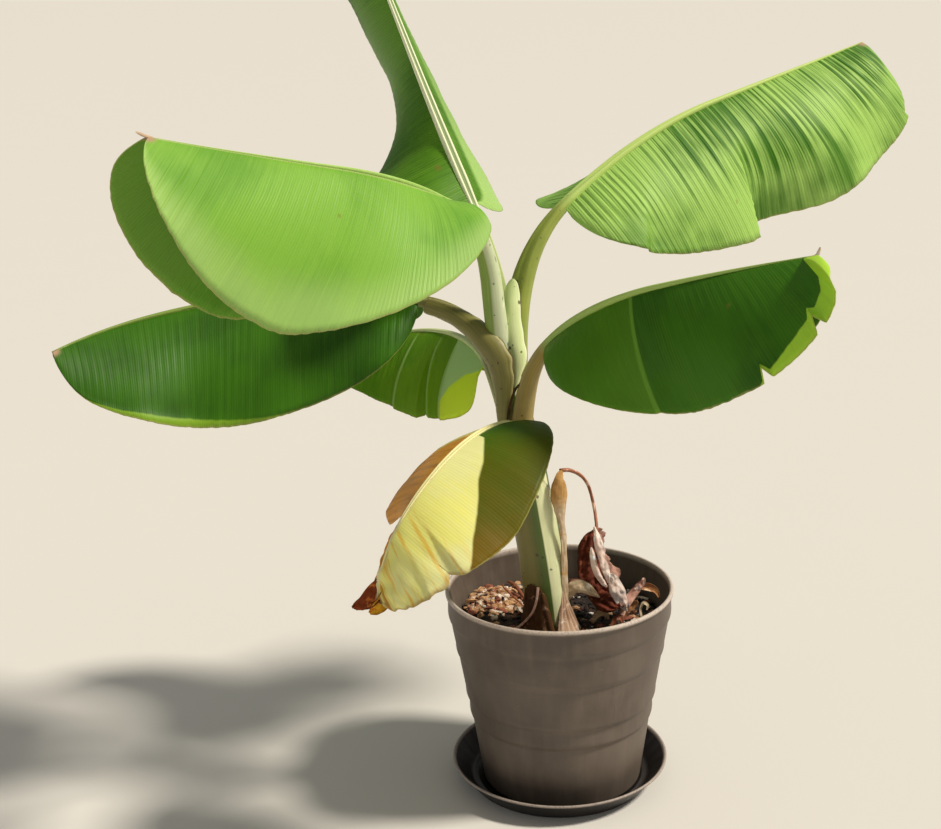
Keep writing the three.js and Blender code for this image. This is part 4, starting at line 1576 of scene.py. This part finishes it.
def relief(leaf, t, u, sign, seed):
    """Height of pleats, ruffles and folds above the plain blade, millimetres."""
    spacing, depth, calm, quiet = (*leaf["pleat"], 0.75, 0.35)[:4]
    place = t * leaf["length"]
    drift = 5 * noise.noise(Vector((t * 5, u * 1.5, seed)))
    wave = (place + drift) / spacing * TURN
    strength = 0.55 + 0.75 * noise.noise(Vector((t * 9, sign * 5, seed + 4)))
    fade = smooth(u / 0.12) * (1 - quiet * smooth((u - calm) / 0.25))
    fade *= smooth(t / 0.05) * smooth((1 - t) / 0.06)
    height = depth * strength * fade * (math.sin(wave) + 0.3 * math.sin(2.1 * wave))
    if "wave" in leaf:
        size, count = leaf["wave"]
        height += size * math.sin(TURN * count * t) * u * u
    half = leaf["left" if sign > 0 else "right"]
    for at, lean, drop, reach, start in half.get("creases", ()):
        past = t - at - lean * u
        fall = smooth(past / 0.012 + 0.5) * max(0.0, 1 - max(past, 0) / (2 * reach))
        height -= drop * fall * smooth((u - start) / (1 - start))
    if "flare" in half:
        middle = 1 - abs(2 * t - 1) ** 3
        height += half["flare"] * middle * max(0.0, (u - 0.62) / 0.38) ** 2
    if "flange" in half:
        beyond = max(0.0, u - curve_at(half["flange"], t))
        height += 0.5 * beyond * half_width(leaf, half, t)
    height += 2.2 * u * u * noise.noise(Vector((t * 12, sign * 9, seed + 8)))
    fray = leaf.get("frayed", 0) * smooth((t - 0.6) / 0.3)
    height += fray * 4.5 * noise.noise(Vector((t * 16, u * 3 * sign, seed)))
    return height


def strip_offset(half, mean_t, u):
    """Lift of a strip between two tears, which grows from where both have begun."""
    tears = half.get("tears", ())
    flaps = half.get("flaps")
    if not flaps:
        return 0.0
    index = sum(1 for tear in tears if tear[0] < mean_t)
    beside = [tear[1] for k, tear in enumerate(tears) if k in (index - 1, index)]
    start = 1 - min(beside) if beside else 1.0
    return flaps[index] * smooth((u - start) / max(1 - start, 0.01))


class PLANT_OT_blades(bpy.types.Operator):
    """Adds the leaf blades with their pleats, ruffles, tears and tips"""

    bl_idname = "plant.blades"
    bl_label = "Blades"
    bl_options = UNDOABLE

    def execute(self, context):
        settings = context.scene.plant_leaf
        for index, leaf in enumerate(LEAVES):
            self.blade(leaf, index * 3.7, settings)
        return {"FINISHED"}

    def blade(self, leaf, seed, settings):
        columns, count = 18, int(leaf["length"])
        rows = blade_rows(leaf, count)
        _, line = leaf_lines(leaf)
        bm = grid(2 * columns, count)
        self.cut_tears(bm, leaf, rows, columns, count)
        vein, ring = uv_layer(bm, "Vein"), uv_layer(bm, "Blade")
        seam_layer = bm.verts.layers.float.new("seam")
        surface, target, lengths = {}, {}, {}
        for v in bm.verts:
            i = min(round(v.co.y * count), count)
            j = round(v.co.x * 2 * columns) - columns
            mean_t = sum(f.calc_center_median().y for f in v.link_faces)
            mean_t = rows[min(int(mean_t / len(v.link_faces) * count), count - 1)]
            sign = -1 if j > 0 else 1
            if (i, sign) not in surface:
                surface[i, sign] = blade_surface(
                    leaf, line, rows[i], sign, columns, seed
                )
            point, lift, u, distance = surface[i, sign][abs(j)]
            half = leaf["left" if sign > 0 else "right"]
            height = relief(leaf, rows[i], u, sign, seed)
            height += strip_offset(half, mean_t, u)
            target[v] = point + lift * height
            lengths[v] = (-sign * distance * MM, rows[i] * leaf["length"] * MM)
            if "flaps" in half:
                gaps = [tear[0] - mean_t for tear in half["tears"]]
                gap = min([g for g in gaps if g > 0], default=1) * leaf["length"]
                v[seam_layer] = smooth((5 - gap) / 2) * smooth(u / 0.2)
            v.co.z = rows[i]
        for face in bm.faces:
            for loop in face.loops:
                v = loop.vert
                loop[vein].uv = lengths[v]
                loop[ring].uv = (v.co.x * 2 - 1, v.co.z)
        for v, co in target.items():
            v.co = co
        upper = blade_material(leaf["look"], "upper", settings)
        under = blade_material(leaf["look"], "under", settings)
        name = leaf["name"] + "_lamina"
        piece = new_piece(bm, name, [upper, under], [leaf["name"] + "_blade"])
        thicken(piece, settings.thickness / MM, 1)

    def cut_tears(self, bm, leaf, rows, columns, count):
        """Slits the flat grid from the margin inward along each tear's row."""
        edges = []
        for side, low, high in (("left", 0, columns), ("right", columns, 2 * columns)):
            for at, depth, *_ in leaf[side].get("tears", ()):
                row = rows.index(at)
                for edge in bm.edges:
                    a, b = (v.co for v in edge.verts)
                    if abs(a.y - b.y) > 1e-6 or round(a.y * count) != row:
                        continue
                    middle = (a.x + b.x) * columns
                    reach = abs(middle - columns) / columns
                    if low < middle < high and reach > 1 - depth:
                        edges.append(edge)
        if edges:
            bmesh.ops.split_edges(bm, edges=edges)


# ---------------------------------------------------------------- dry parts

WITHERED = {
    "root": (8, -32, 434), "heading": [41, -3, -36, -46, -51],
    "rise": [1, -75, -87, -65, -46], "stalk": 107,
    "radii": [3.4, 2.9, 2.5, 2.3, 1.9, 1.1], "length": 103, "skew": 1.08, "power": 2.36,
    "wave": (5, 2.5),
    "left": {
        "width": 44, "rib": [19, 17, 19], "edge": [58, 57, 39], "sweep": [1, 15, 19],
    },
    "right": {
        "width": 35, "rib": [21, 20, 20], "edge": [61, 60, 40], "sweep": [1, 15, 19],
    },
}


def smooth_row(rows, t):
    """Numbers at t (0 to 1) of a smooth curve through rows of numbers."""
    x = min(max(t, 0.0), 1.0) * (len(rows) - 1)
    i = min(int(x), len(rows) - 2)
    f = x - i
    a, b, c, d = (rows[min(max(k, 0), len(rows) - 1)] for k in range(i - 1, i + 3))
    found = []
    for p, q, r, w in zip(a, b, c, d):
        bend, twist = 2 * p - 5 * q + 4 * r - w, 3 * q - p - 3 * r + w
        found.append(0.5 * (2 * q + (r - p) * f + bend * f * f + twist * f**3))
    return found


def bent_strip(name, rows, material, seed, replaced, crumple):
    """Thin strip through rows of x, y, z, half width, facing, tilt and curl.

    Facing and tilt are the compass angle and the rise of the side that shows; curl
    rolls both edges toward that side, or away from it where it is negative.
    """
    columns, count = 14, 16 * (len(rows) - 1)
    size = sum(math.dist(a[:3], b[:3]) for a, b in zip(rows, rows[1:]))
    widest = max(row[3] for row in rows)
    bm = grid(columns, count)
    unwrap(bm, 2 * widest * MM, size * MM)
    for v in bm.verts:
        t, side = v.co.y, v.co.x * 2 - 1
        x, y, z, width, facing, tilt, curl = smooth_row(rows, t)
        ahead, behind = smooth_row(rows, t + 0.02), smooth_row(rows, t - 0.02)
        run = (Vector(ahead[:3]) - Vector(behind[:3])).normalized()
        shown = frame_of(facing, tilt)[0]
        shown = (shown - run * shown.dot(run)).normalized()
        width = max(width, 0.15) * (
            1 + 0.12 * noise.noise(Vector((t * size / 14, side, seed)))
        )
        bend = math.radians(curl) or 1e-4
        across = math.sin(bend * side) / bend * width
        lift = (1 - math.cos(bend * side)) / bend * width
        lift += crumple * noise.noise(Vector((t * size / 13, side * widest / 8, seed)))
        lift += crumple * 0.5 * noise.noise(
            Vector((t * size / 5, side * widest / 4, seed + 5))
        )
        v.co = Vector((x, y, z)) + shown.cross(run) * across + shown * lift
    piece = new_piece(bm, name, [material], replaced)
    thicken(piece, STRIP_WALL)


class PLANT_OT_withered(bpy.types.Operator):
    """Adds the withered leaf that hangs to the soil"""

    bl_idname = "plant.withered"
    bl_label = "Withered leaf"
    bl_options = UNDOABLE

    def execute(self, context):
        settings = context.scene.plant_dry
        leaf = WITHERED
        rust = dry_material(
            "Withered Rust",
            settings.rust,
            settings.umber,
            paint("8a4a36"),
            0.5,
            far=settings.pink,
        )
        stalk_line, rib_line = leaf_lines(leaf)
        brown = dry_material(
            "Withered Stalk", paint("c08468"), paint("7c4632"), paint("ecc4b0"), 0.5
        )
        bm = grid(14, 90)
        unwrap(bm, 0.03, 0.2, 0, 0)
        whole = leaf["stalk"] + leaf["length"] * 0.8
        for v in bm.verts:
            s = v.co.y * whole
            if s < leaf["stalk"]:
                place = place_at(stalk_line, s / leaf["stalk"])
            else:
                place = place_at(rib_line, (s - leaf["stalk"]) / leaf["length"])
            point, _, left, top = place
            radius = along(leaf["radii"], v.co.y)
            a = v.co.x * TURN + s / 40
            ridge = 1 + 0.22 * math.sin(3 * a) + 0.15 * noise.noise(
                Vector((math.cos(a), math.sin(a), s / 8))
            )
            out = left * math.cos(a) + top * math.sin(a) * 0.7
            v.co = point + out * radius * ridge
        close_seam(bm, 1e-4)
        bmesh.ops.holes_fill(bm, edges=bm.edges, sides=0)
        new_piece(bm, "withered_rib", [brown], ["leaf_withered_stalk"])
        columns, count = 16, 150
        bm = grid(2 * columns, count)
        unwrap(bm, 0.08, 0.1)
        size, waves = leaf["wave"]
        for v in bm.verts:
            t = 0.004 + 0.992 * v.co.y
            j = round(v.co.x * 2 * columns) - columns
            sign = -1 if j > 0 else 1
            point, lift, u, _ = blade_surface(
                leaf, rib_line, t, sign, columns, 21
            )[abs(j)]
            fold = size * math.sin(TURN * waves * t) * u * u
            fold += 7.5 * u * noise.noise(Vector((t * 7, u * 3 * sign, 2)))
            fold += 3.6 * noise.noise(Vector((t * 19, u * 7 * sign, 5)))
            fold += 1.4 * noise.noise(Vector((t * 50, u * 16 * sign, 9)))
            pleat = 2.4 * math.sin(u * 15 + 2 * math.sin(t * 9)) * smooth(u * 4)
            v.co = point + lift * (fold + pleat)
        piece = new_piece(
            bm, "withered_lamina", [rust], ["leaf_withered_blade"]
        )
        thicken(piece, STRIP_WALL)
        return {"FINISHED"}


# Thin strips: name, slot, finish, how crumpled they are in millimetres, then rows of
# x, y, z, half width, facing, tilt and curl (see bent_strip). A name that ends in
# _strip stands for the node that is named before it; the others add small form
STRIPS = [
    (
        "sheath_dry_strip", "dry_sheath", "spoon", 1.0,
        (11.5, -51, 262, 5, -50, 0, -30), (11.5, -52, 290, 5.5, -48, 0, -30),
        (11, -52.5, 320, 5.5, -48, 0, -30), (10.5, -54, 350, 5, -52, 0, -20),
        (8.5, -57, 374, 4.5, -60, 0, -40), (7.5, -59, 392, 9, -68, 0, -60),
        (7, -60, 408, 13.5, -70, 0, -65), (7, -58, 422, 12, -70, 0, -65),
        (7.5, -53, 432, 7.5, -66, 5, -50), (9, -44, 436, 3.5, -60, 20, -40),
        (10, -35, 434, 1.2, -60, 40, -20),
    ),
    (
        "sheath_curl_strip", "dry_sheath", "petal", 1.6,
        (13, -45, 266, 3, -80, 10, -30), (16, -46, 275, 7, -80, 14, -35),
        (22, -47, 283, 9.5, -80, 16, -35), (30, -47, 285.5, 9, -80, 18, -30),
        (38, -46, 282, 7.5, -78, 16, -25), (46, -45, 275.5, 4.5, -78, 14, -20),
        (54, -44, 269, 0.6, -78, 10, -10),
    ),
    (
        "sheath_young", "stem", "young", 0.0,
        (-46, -50, 545, 1.2, -90, 0, -40), (-43.5, -49.5, 565, 8, -88, 0, -60),
        (-42, -48.5, 582, 15.5, -86, 0, -70), (-45, -46, 600, 16, -86, 0, -70),
        (-47, -42.5, 618, 15, -88, 4, -70), (-47.5, -36.5, 641, 13, -90, 10, -65),
        (-47.5, -30, 657, 11.5, -90, 14, -60), (-46.5, -25.5, 669, 7.5, -90, 20, -50),
        (-46.5, -24, 675, 1.5, -90, 24, -30),
    ),
    (
        "sheath_left", "stem", "olive", 0.0,
        (-61, -57, 480, 6, -100, 0, -50), (-62, -59, 500, 8, -102, 0, -55),
        (-62, -61, 522, 10, -104, 0, -55), (-61.5, -63, 546, 14.5, -106, 0, -60),
        (-64, -65, 570, 19, -108, 2, -60), (-71, -64, 590, 21, -110, 6, -65),
        (-86, -53, 609, 20.5, -110, 12, -72), (-106, -30, 624, 18, -106, 18, -78),
        (-130, -4, 633, 15.5, -98, 22, -80), (-156, 8, 640, 13.5, -94, 24, -80),
    ),
    (
        "sheath_margin", "stem", "line", 0.0,
        (-57, -60, 500, 1.0, -90, 0, -20), (-54, -63, 520, 1.3, -90, 0, -20),
        (-49, -67, 540, 1.5, -85, 0, -20), (-43, -71, 553, 1.2, -80, 0, -20),
        (-34, -73, 563, 0.5, -80, 0, -20),
    ),
    (
        "withered_fold", "withered_blade", "white", 3.0,
        (49, -33, 360, 1.2, -80, 0, -30), (51.5, -38, 350, 4.5, -72, 0, -40),
        (54, -42, 338, 6, -80, 0, -30), (57.5, -44, 324, 5.5, -72, 0, -40),
        (61.5, -46, 308, 5, -80, 0, -20), (65, -47, 296, 3.5, -76, 5, -40),
        (67, -47, 286, 1, -80, 10, -20),
    ),
    (
        "withered_ridge", "withered_blade", "white", 2.4,
        (44.5, -41, 336, 1, -90, 0, -30), (45.5, -44, 325, 4, -96, 0, -50),
        (48, -46, 312, 4.8, -88, 0, -40), (52, -48, 300, 4.5, -96, 0, -50),
        (58, -49, 291, 3.5, -90, 5, -40), (63, -49, 285, 1, -90, 10, -20),
    ),
    (
        "withered_branch", "withered_blade", "pink", 2.4,
        (82, -30, 238, 3, -80, 30, 30), (88, -20, 249, 6, -78, 24, 40),
        (96, -12, 258, 6.5, -82, 24, 50), (104, -8, 267, 5.5, -74, 20, 40),
        (110, -7, 274, 4.5, -84, 20, 60), (112, -6, 279, 1.5, -80, 20, 40),
    ),
    (
        "withered_white", "withered_blade", "white", 3.0,
        (68, -46, 302, 2.5, -80, 0, -20), (72, -48, 292, 8, -76, 4, -40),
        (77, -49, 279, 10, -80, 6, -30), (82, -47, 266, 9.5, -72, 8, -40),
        (86, -44, 256, 6, -76, 10, -30), (89, -41, 249, 1.5, -80, 10, -20),
    ),
    (
        "withered_curl", "withered_blade", "ochre", 1.6,
        (103, -4, 264, 2, -80, 30, 30), (112, -2, 265, 5.5, -80, 26, 60),
        (121, -2, 263, 6, -76, 26, 60), (128, -4, 259, 4, -80, 26, 60),
        (131, -6, 252, 1.5, -80, 26, 40),
    ),
    (
        "withered_scrap", "withered_blade", "ochre", 1.6,
        (84, -18, 229, 2, -80, 20, 40), (90, -15, 238, 5, -80, 20, 60),
        (97, -13, 245, 5.5, -74, 20, 60), (104, -13, 250, 2, -80, 20, 40),
    ),
    (
        "withered_ring", "withered_blade", "cream", 0.6,
        (108, -16, 230, 1.6, -60, 10, 30), (107, -14, 240, 2.2, -60, 10, 30),
        (111, -13, 247, 2.4, -60, 40, 30), (116, -13, 244, 2.2, -60, 20, 30),
        (115, -14, 238, 1.2, -60, 0, 30),
    ),
    (
        "scrap_beige", "withered_blade", "cream", 1.6,
        (46, -26, 229, 2, -80, 50, 40), (52, -23, 236, 5, -80, 40, 60),
        (60, -22, 237, 5, -70, 40, 60), (66, -24, 230, 1.5, -80, 40, 40),
    ),
    (
        "scrap_brown", "withered_blade", "brown", 1.6,
        (68, -48, 229, 2, -80, 50, 40), (73, -44, 238, 4, -80, 40, 60),
        (79, -42, 240, 4, -70, 40, 60), (84, -44, 231, 1.5, -80, 40, 40),
    ),
    (
        "twig_left", "dry_sheath", "brown", 0.6,
        (-72, 50, 250, 0.8, -80, 30, -60), (-69, 42, 247, 1.2, -80, 30, -60),
        (-60, 30, 243, 1.3, -80, 40, -60), (-46, 14, 236, 1.2, -80, 40, -60),
        (-36, 2, 229, 0.8, -80, 40, -60),
    ),
    (
        "twig_back", "dry_sheath", "brown", 0.6,
        (-66, 66, 246, 1.0, -80, 30, -60), (-60, 60, 247, 2.4, -80, 30, -60),
        (-52, 52, 243, 2.8, -80, 30, -60), (-44, 40, 236, 2.2, -80, 40, -60),
        (-36, 26, 229, 1.0, -80, 40, -60),
    ),
    (
        "scrap_vein", "dry_sheath", "pink", 0.5,
        (-23, -70, 294, 1.6, -100, 10, -50), (-25, -70, 278, 1.4, -102, 10, -50),
        (-29, -70, 265, 1.4, -108, 10, -50), (-34, -68, 255, 1.5, -112, 16, -50),
        (-42, -60, 243, 1.7, -116, 30, -50), (-50, -52, 233, 2.6, -116, 50, -50),
        (-55, -50, 229, 3.4, -116, 60, -30), (-59, -50, 227, 1.4, -116, 60, -30),
    ),
    (
        "tip_burnt", "yellow_blade", "burnt", 3.0,
        (-180, -283, 404, 3, -90, 0, 30), (-188, -284, 394, 9, -85, 0, 50),
        (-198, -286, 383, 12, -95, 0, 60), (-209, -288, 373, 11.5, -85, 0, 70),
        (-218, -289, 368, 6.5, -90, 0, 60), (-224, -288, 365, 1, -90, 0, 40),
    ),
    (
        "tip_golden", "yellow_blade", "golden", 2.4,
        (-178, -284, 396, 3, -80, 0, 30), (-183, -286, 385, 8, -80, 0, 50),
        (-189, -289, 374, 9.5, -74, 0, 50), (-197, -290, 365, 8, -80, 0, 50),
        (-205, -290, 359, 2, -74, 0, 40),
    ),
    (
        "tip_left_upper", "green_blade", "tip", 0.0,
        (-362, -427, 893, 1.2, -90, 50, -60), (-367, -432, 895.5, 2.2, -90, 50, -80),
        (-371, -434, 897.5, 2.0, -90, 50, -80), (-375, -435, 899, 0.6, -90, 50, -60),
    ),
    (
        "tip_right_lower", "green_blade", "tip", 0.0,
        (263, -290, 743, 1.2, -90, 30, -60), (267, -292, 745, 2.2, -90, 30, -80),
        (269, -293, 749, 1.8, -90, 30, -80), (270, -293, 753, 0.5, -90, 30, -60),
    ),
]

# Sheaths round the foot: heights of the foot and the rim, how far the rim drops at the
# sides, the middle's compass angle, the degrees it reaches round, the gap from the
# stem, and the finish
SHEATHS = [
    {
        "name": "sheath_foot", "from": 226.3, "to": 284, "turn": [-44, -42, -37],
        "reach": [70, 52, 32, 12], "stand": [9, 3.5, 0.8, 0], "tint": "papery",
    },
    {
        "name": "sheath_withered", "from": 226.3, "to": 294, "arch": 14,
        "turn": [-119, -120, -121], "reach": [84, 76, 70, 64], "stand": [9, 6, 3.5, 2],
        "tint": "umber",
    },
]


# Dry finishes: name, body, fibres, pale patches of painted highlight, the foot's colour
# where it differs, and how strong the fibres are. A word in place of a code is the dry
# setting of that name
DRY_FINISHES = {
    "cream": ("Dry Cream", "cream", "b08d66", "cream", 0.5),
    "umber": ("Dry Umber", "5e4426", "umber", "9a7860", 0.6),
    "spoon": ("Dry Spoon", "tan", "96682f", "tan", "cream", 0.5),
    "pink": ("Withered Pink", "e6c4b4", "a5604c", "fbeee6", 0.35),
    "white": ("Withered White", "faf0e8", "d09c88", "ffffff", 0.25),
    "papery": ("Papery Foot", "d2b498", "a47c66", "ecdccc", 0.5),
    "ochre": ("Withered Ochre", "c89464", "844c2a", "ecd2b4", 0.5),
    "petal": ("Dry Petal", "e8d8b8", "a9835c", "f6ecd8", 0.6),
    "brown": ("Withered Brown", "a8684a", "5c2c1a", "dcb49c", 0.5),
    "burnt": ("Burnt Tip", "9c4a1c", "5c2410", "cc7636", 0.4),
    "golden": ("Golden Tip", "e6b024", "a8741a", "c06a1c", 0.4),
    "tip": ("Dry Tip", "e4cdb4", "a9835e", "efe0d0", 0.4),
    "line": ("Dry Margin", "4a3318", "2c1c0e", "7c6236", 0.5),
}

# Live finishes: name, body, streaks, pale rim
LIVE_FINISHES = {
    "young": ("Young Sheath", "eaf2be", "cbdc94", "f5f8d8"),
    "olive": ("Olive Sheath", "8e8848", "6f6a36", "b8b27a"),
}


class PLANT_OT_sheaths(bpy.types.Operator):
    """Adds the dry sheaths round the foot of the stem and the dry flaps beside it"""

    bl_idname = "plant.sheaths"
    bl_label = "Dry sheaths"
    bl_options = UNDOABLE

    def execute(self, context):
        settings = context.scene.plant_dry
        green = context.scene.plant_leaf
        finishes = {}
        for key, (name, *codes, strength) in DRY_FINISHES.items():
            light, dark, accent, *foot = (
                getattr(settings, code) if hasattr(settings, code) else paint(code)
                for code in codes
            )
            finishes[key] = dry_material(name, light, dark, accent, strength, *foot)
        for key, (name, *codes) in LIVE_FINISHES.items():
            finishes[key] = clasp_material(name, *map(paint, codes), green)
        for index, strip in enumerate(STRIPS):
            name, slot, finish, crumple, *rows = strip
            replaced = [name.removesuffix("_strip")] if "_strip" in name else []
            material = finishes[finish]
            bent_strip(name, rows, material, 30 + index, replaced, crumple)
        for index, spec in enumerate(SHEATHS):
            self.wrap(spec, finishes[spec["tint"]], 40 + index)
        return {"FINISHED"}

    def wrap(self, spec, material, seed):
        """A dry sheath that stands off the stem at its foot."""
        line = stem_line()
        low, high = line[0][0].z, line[-1][0].z
        bm = grid(36, 48)
        unwrap(bm, 0.06, 0.05)
        for v in bm.verts:
            t, side = v.co.y, v.co.x * 2 - 1
            ragged = 3.5 * noise.noise(Vector((side * 4, 0, seed))) * t
            ragged -= spec.get("arch", 0) * side * side
            height = spec["from"] + (spec["to"] - spec["from"] + ragged) * t
            s = (height - low) / (high - low)
            point = place_at(line, s)[0]
            radius = along(STEM["radii"], s) + 1.8 + along(spec["stand"], t)
            radius += 1.6 * noise.noise(Vector((side * 5, t * 3, seed)))
            radius += 0.6 * math.sin(side * 16 + t * 2)
            uneven = 1 + 0.05 * noise.noise(Vector((t * 9, side, seed)))
            reach = along(spec["reach"], t) * uneven
            angle = math.radians(along(spec["turn"], t) + reach * side / 2)
            x = point.x + math.cos(angle) * radius
            v.co = Vector((x, point.y + math.sin(angle) * radius, height))
        piece = new_piece(
            bm, spec["name"] + "_wrap", [material], [spec["name"]]
        )
        thicken(piece, 1.0)


# ---------------------------------------------------------------- stage


CAMERA_PLACE = (0, -1.8, 1.023)  # metres
CAMERA_TURN = (3.3, 16.2, -1.9)  # left of straight ahead, down, rolled, degrees
SENSOR = 36  # width of the picture plane, millimetres
SUN = (-4, 50)  # heading and rise of the main light, degrees


class PLANT_OT_stage(bpy.types.Operator):
    """Adds the floor, the lights and the camera"""

    bl_idname = "plant.stage"
    bl_label = "Stage"
    bl_options = UNDOABLE

    def execute(self, context):
        settings = context.scene.plant_stage
        scene = context.scene
        self.floor(scene, settings)
        self.camera(scene, settings)
        self.sun(settings)
        world = bpy.data.worlds.new("Studio")
        world.use_nodes = True
        background = world.node_tree.nodes["Background"]
        background.inputs[0].default_value = paint("f5f3ec")
        background.inputs[1].default_value = settings.fill
        scene.world = world
        scene.view_settings.view_transform = "Standard"
        return {"FINISHED"}

    def floor(self, scene, settings):
        bm = bmesh.new()
        bmesh.ops.create_grid(bm, x_segments=2, y_segments=2, size=800)
        mesh = bpy.data.meshes.new("floor")
        bm.to_mesh(mesh)
        bm.free()
        floor = bpy.data.objects.new("floor", mesh)
        scene.collection.objects.link(floor)
        material, tree, shader, _ = new_material("Floor")
        tone = clouds(tree, own_coordinates(tree), 3, 3)
        colour = blend(tree, times(tree, tone, 0.12), settings.floor, paint("cfccc6"))
        feed(tree, shader, {"Base Color": colour, "Roughness": 0.8})
        mesh.materials.append(material)

    def camera(self, scene, settings):
        """Camera at the photograph's angle: turned, tilted down and slightly rolled."""
        yaw, pitch, roll = map(math.radians, CAMERA_TURN)
        look = Vector(
            (
                -math.sin(yaw) * math.cos(pitch), math.cos(yaw) * math.cos(pitch),
                -math.sin(pitch),
            )
        )
        level = Vector((math.cos(yaw), math.sin(yaw), 0))
        upright = level.cross(look)
        right = level * math.cos(roll) + upright * math.sin(roll)
        up = upright * math.cos(roll) - level * math.sin(roll)
        data = bpy.data.cameras.new("camera")
        data.lens = settings.lens
        data.sensor_width = SENSOR
        data.clip_start = 0.05
        camera = bpy.data.objects.new("camera", data)
        scene.collection.objects.link(camera)
        camera.matrix_world = Matrix.Translation(CAMERA_PLACE) @ Matrix(
            (right, up, -look)
        ).transposed().to_4x4()
        scene.camera = camera

    def sun(self, settings):
        """Main light: high on the right of the plant."""
        data = bpy.data.lights.new("key_light", "SUN")
        data.angle = settings.softness
        data.energy = settings.key
        data.color = paint("fff6e6")[:3]
        lamp = bpy.data.objects.new("key_light", data)
        toward = frame_of(*SUN)[0]
        lamp.matrix_world = toward.to_track_quat("Z", "Y").to_matrix().to_4x4()
        bpy.context.scene.collection.objects.link(lamp)


# ---------------------------------------------------------------- panel and start

SETTINGS = [
    ("plant_pot", PotSettings), ("plant_saucer", SaucerSettings),
    ("plant_soil", SoilSettings), ("plant_stem", StemSettings),
    ("plant_leaf", LeafSettings), ("plant_dry", DrySettings),
    ("plant_stage", StageSettings),
]

OPERATORS = [
    PLANT_OT_stage, PLANT_OT_saucer, PLANT_OT_pot, PLANT_OT_soil, PLANT_OT_stem,
    PLANT_OT_stalks, PLANT_OT_blades, PLANT_OT_withered, PLANT_OT_sheaths,
]


class PLANT_PT_panel(bpy.types.Panel):
    """Sidebar panel with the plant's pieces and settings"""

    bl_idname = "PLANT_PT_panel"
    bl_label = "Potted banana plant"
    bl_space_type = "VIEW_3D"
    bl_region_type = "UI"
    bl_category = "Plant"

    def draw(self, context):
        for operator in OPERATORS:
            self.layout.operator(operator.bl_idname)
        for name, kind in SETTINGS:
            box = self.layout.box()
            for key in kind.__annotations__:
                box.prop(getattr(context.scene, name), key)


def register():
    for name, kind in SETTINGS:
        bpy.utils.register_class(kind)
        setattr(bpy.types.Scene, name, PointerProperty(type=kind))
    for kind in (*OPERATORS, PLANT_PT_panel):
        bpy.utils.register_class(kind)


def unregister():
    for kind in (PLANT_PT_panel, *reversed(OPERATORS)):
        bpy.utils.unregister_class(kind)
    for name, kind in reversed(SETTINGS):
        delattr(bpy.types.Scene, name)
        bpy.utils.unregister_class(kind)


def main():
    register()
    bpy.ops.plant.stage()
    bpy.ops.plant.saucer()
    bpy.ops.plant.pot()
    bpy.ops.plant.soil()
    bpy.ops.plant.stem()
    bpy.ops.plant.stalks()
    bpy.ops.plant.blades()
    bpy.ops.plant.withered()
    bpy.ops.plant.sheaths()


if __name__ == "__main__":
    main()
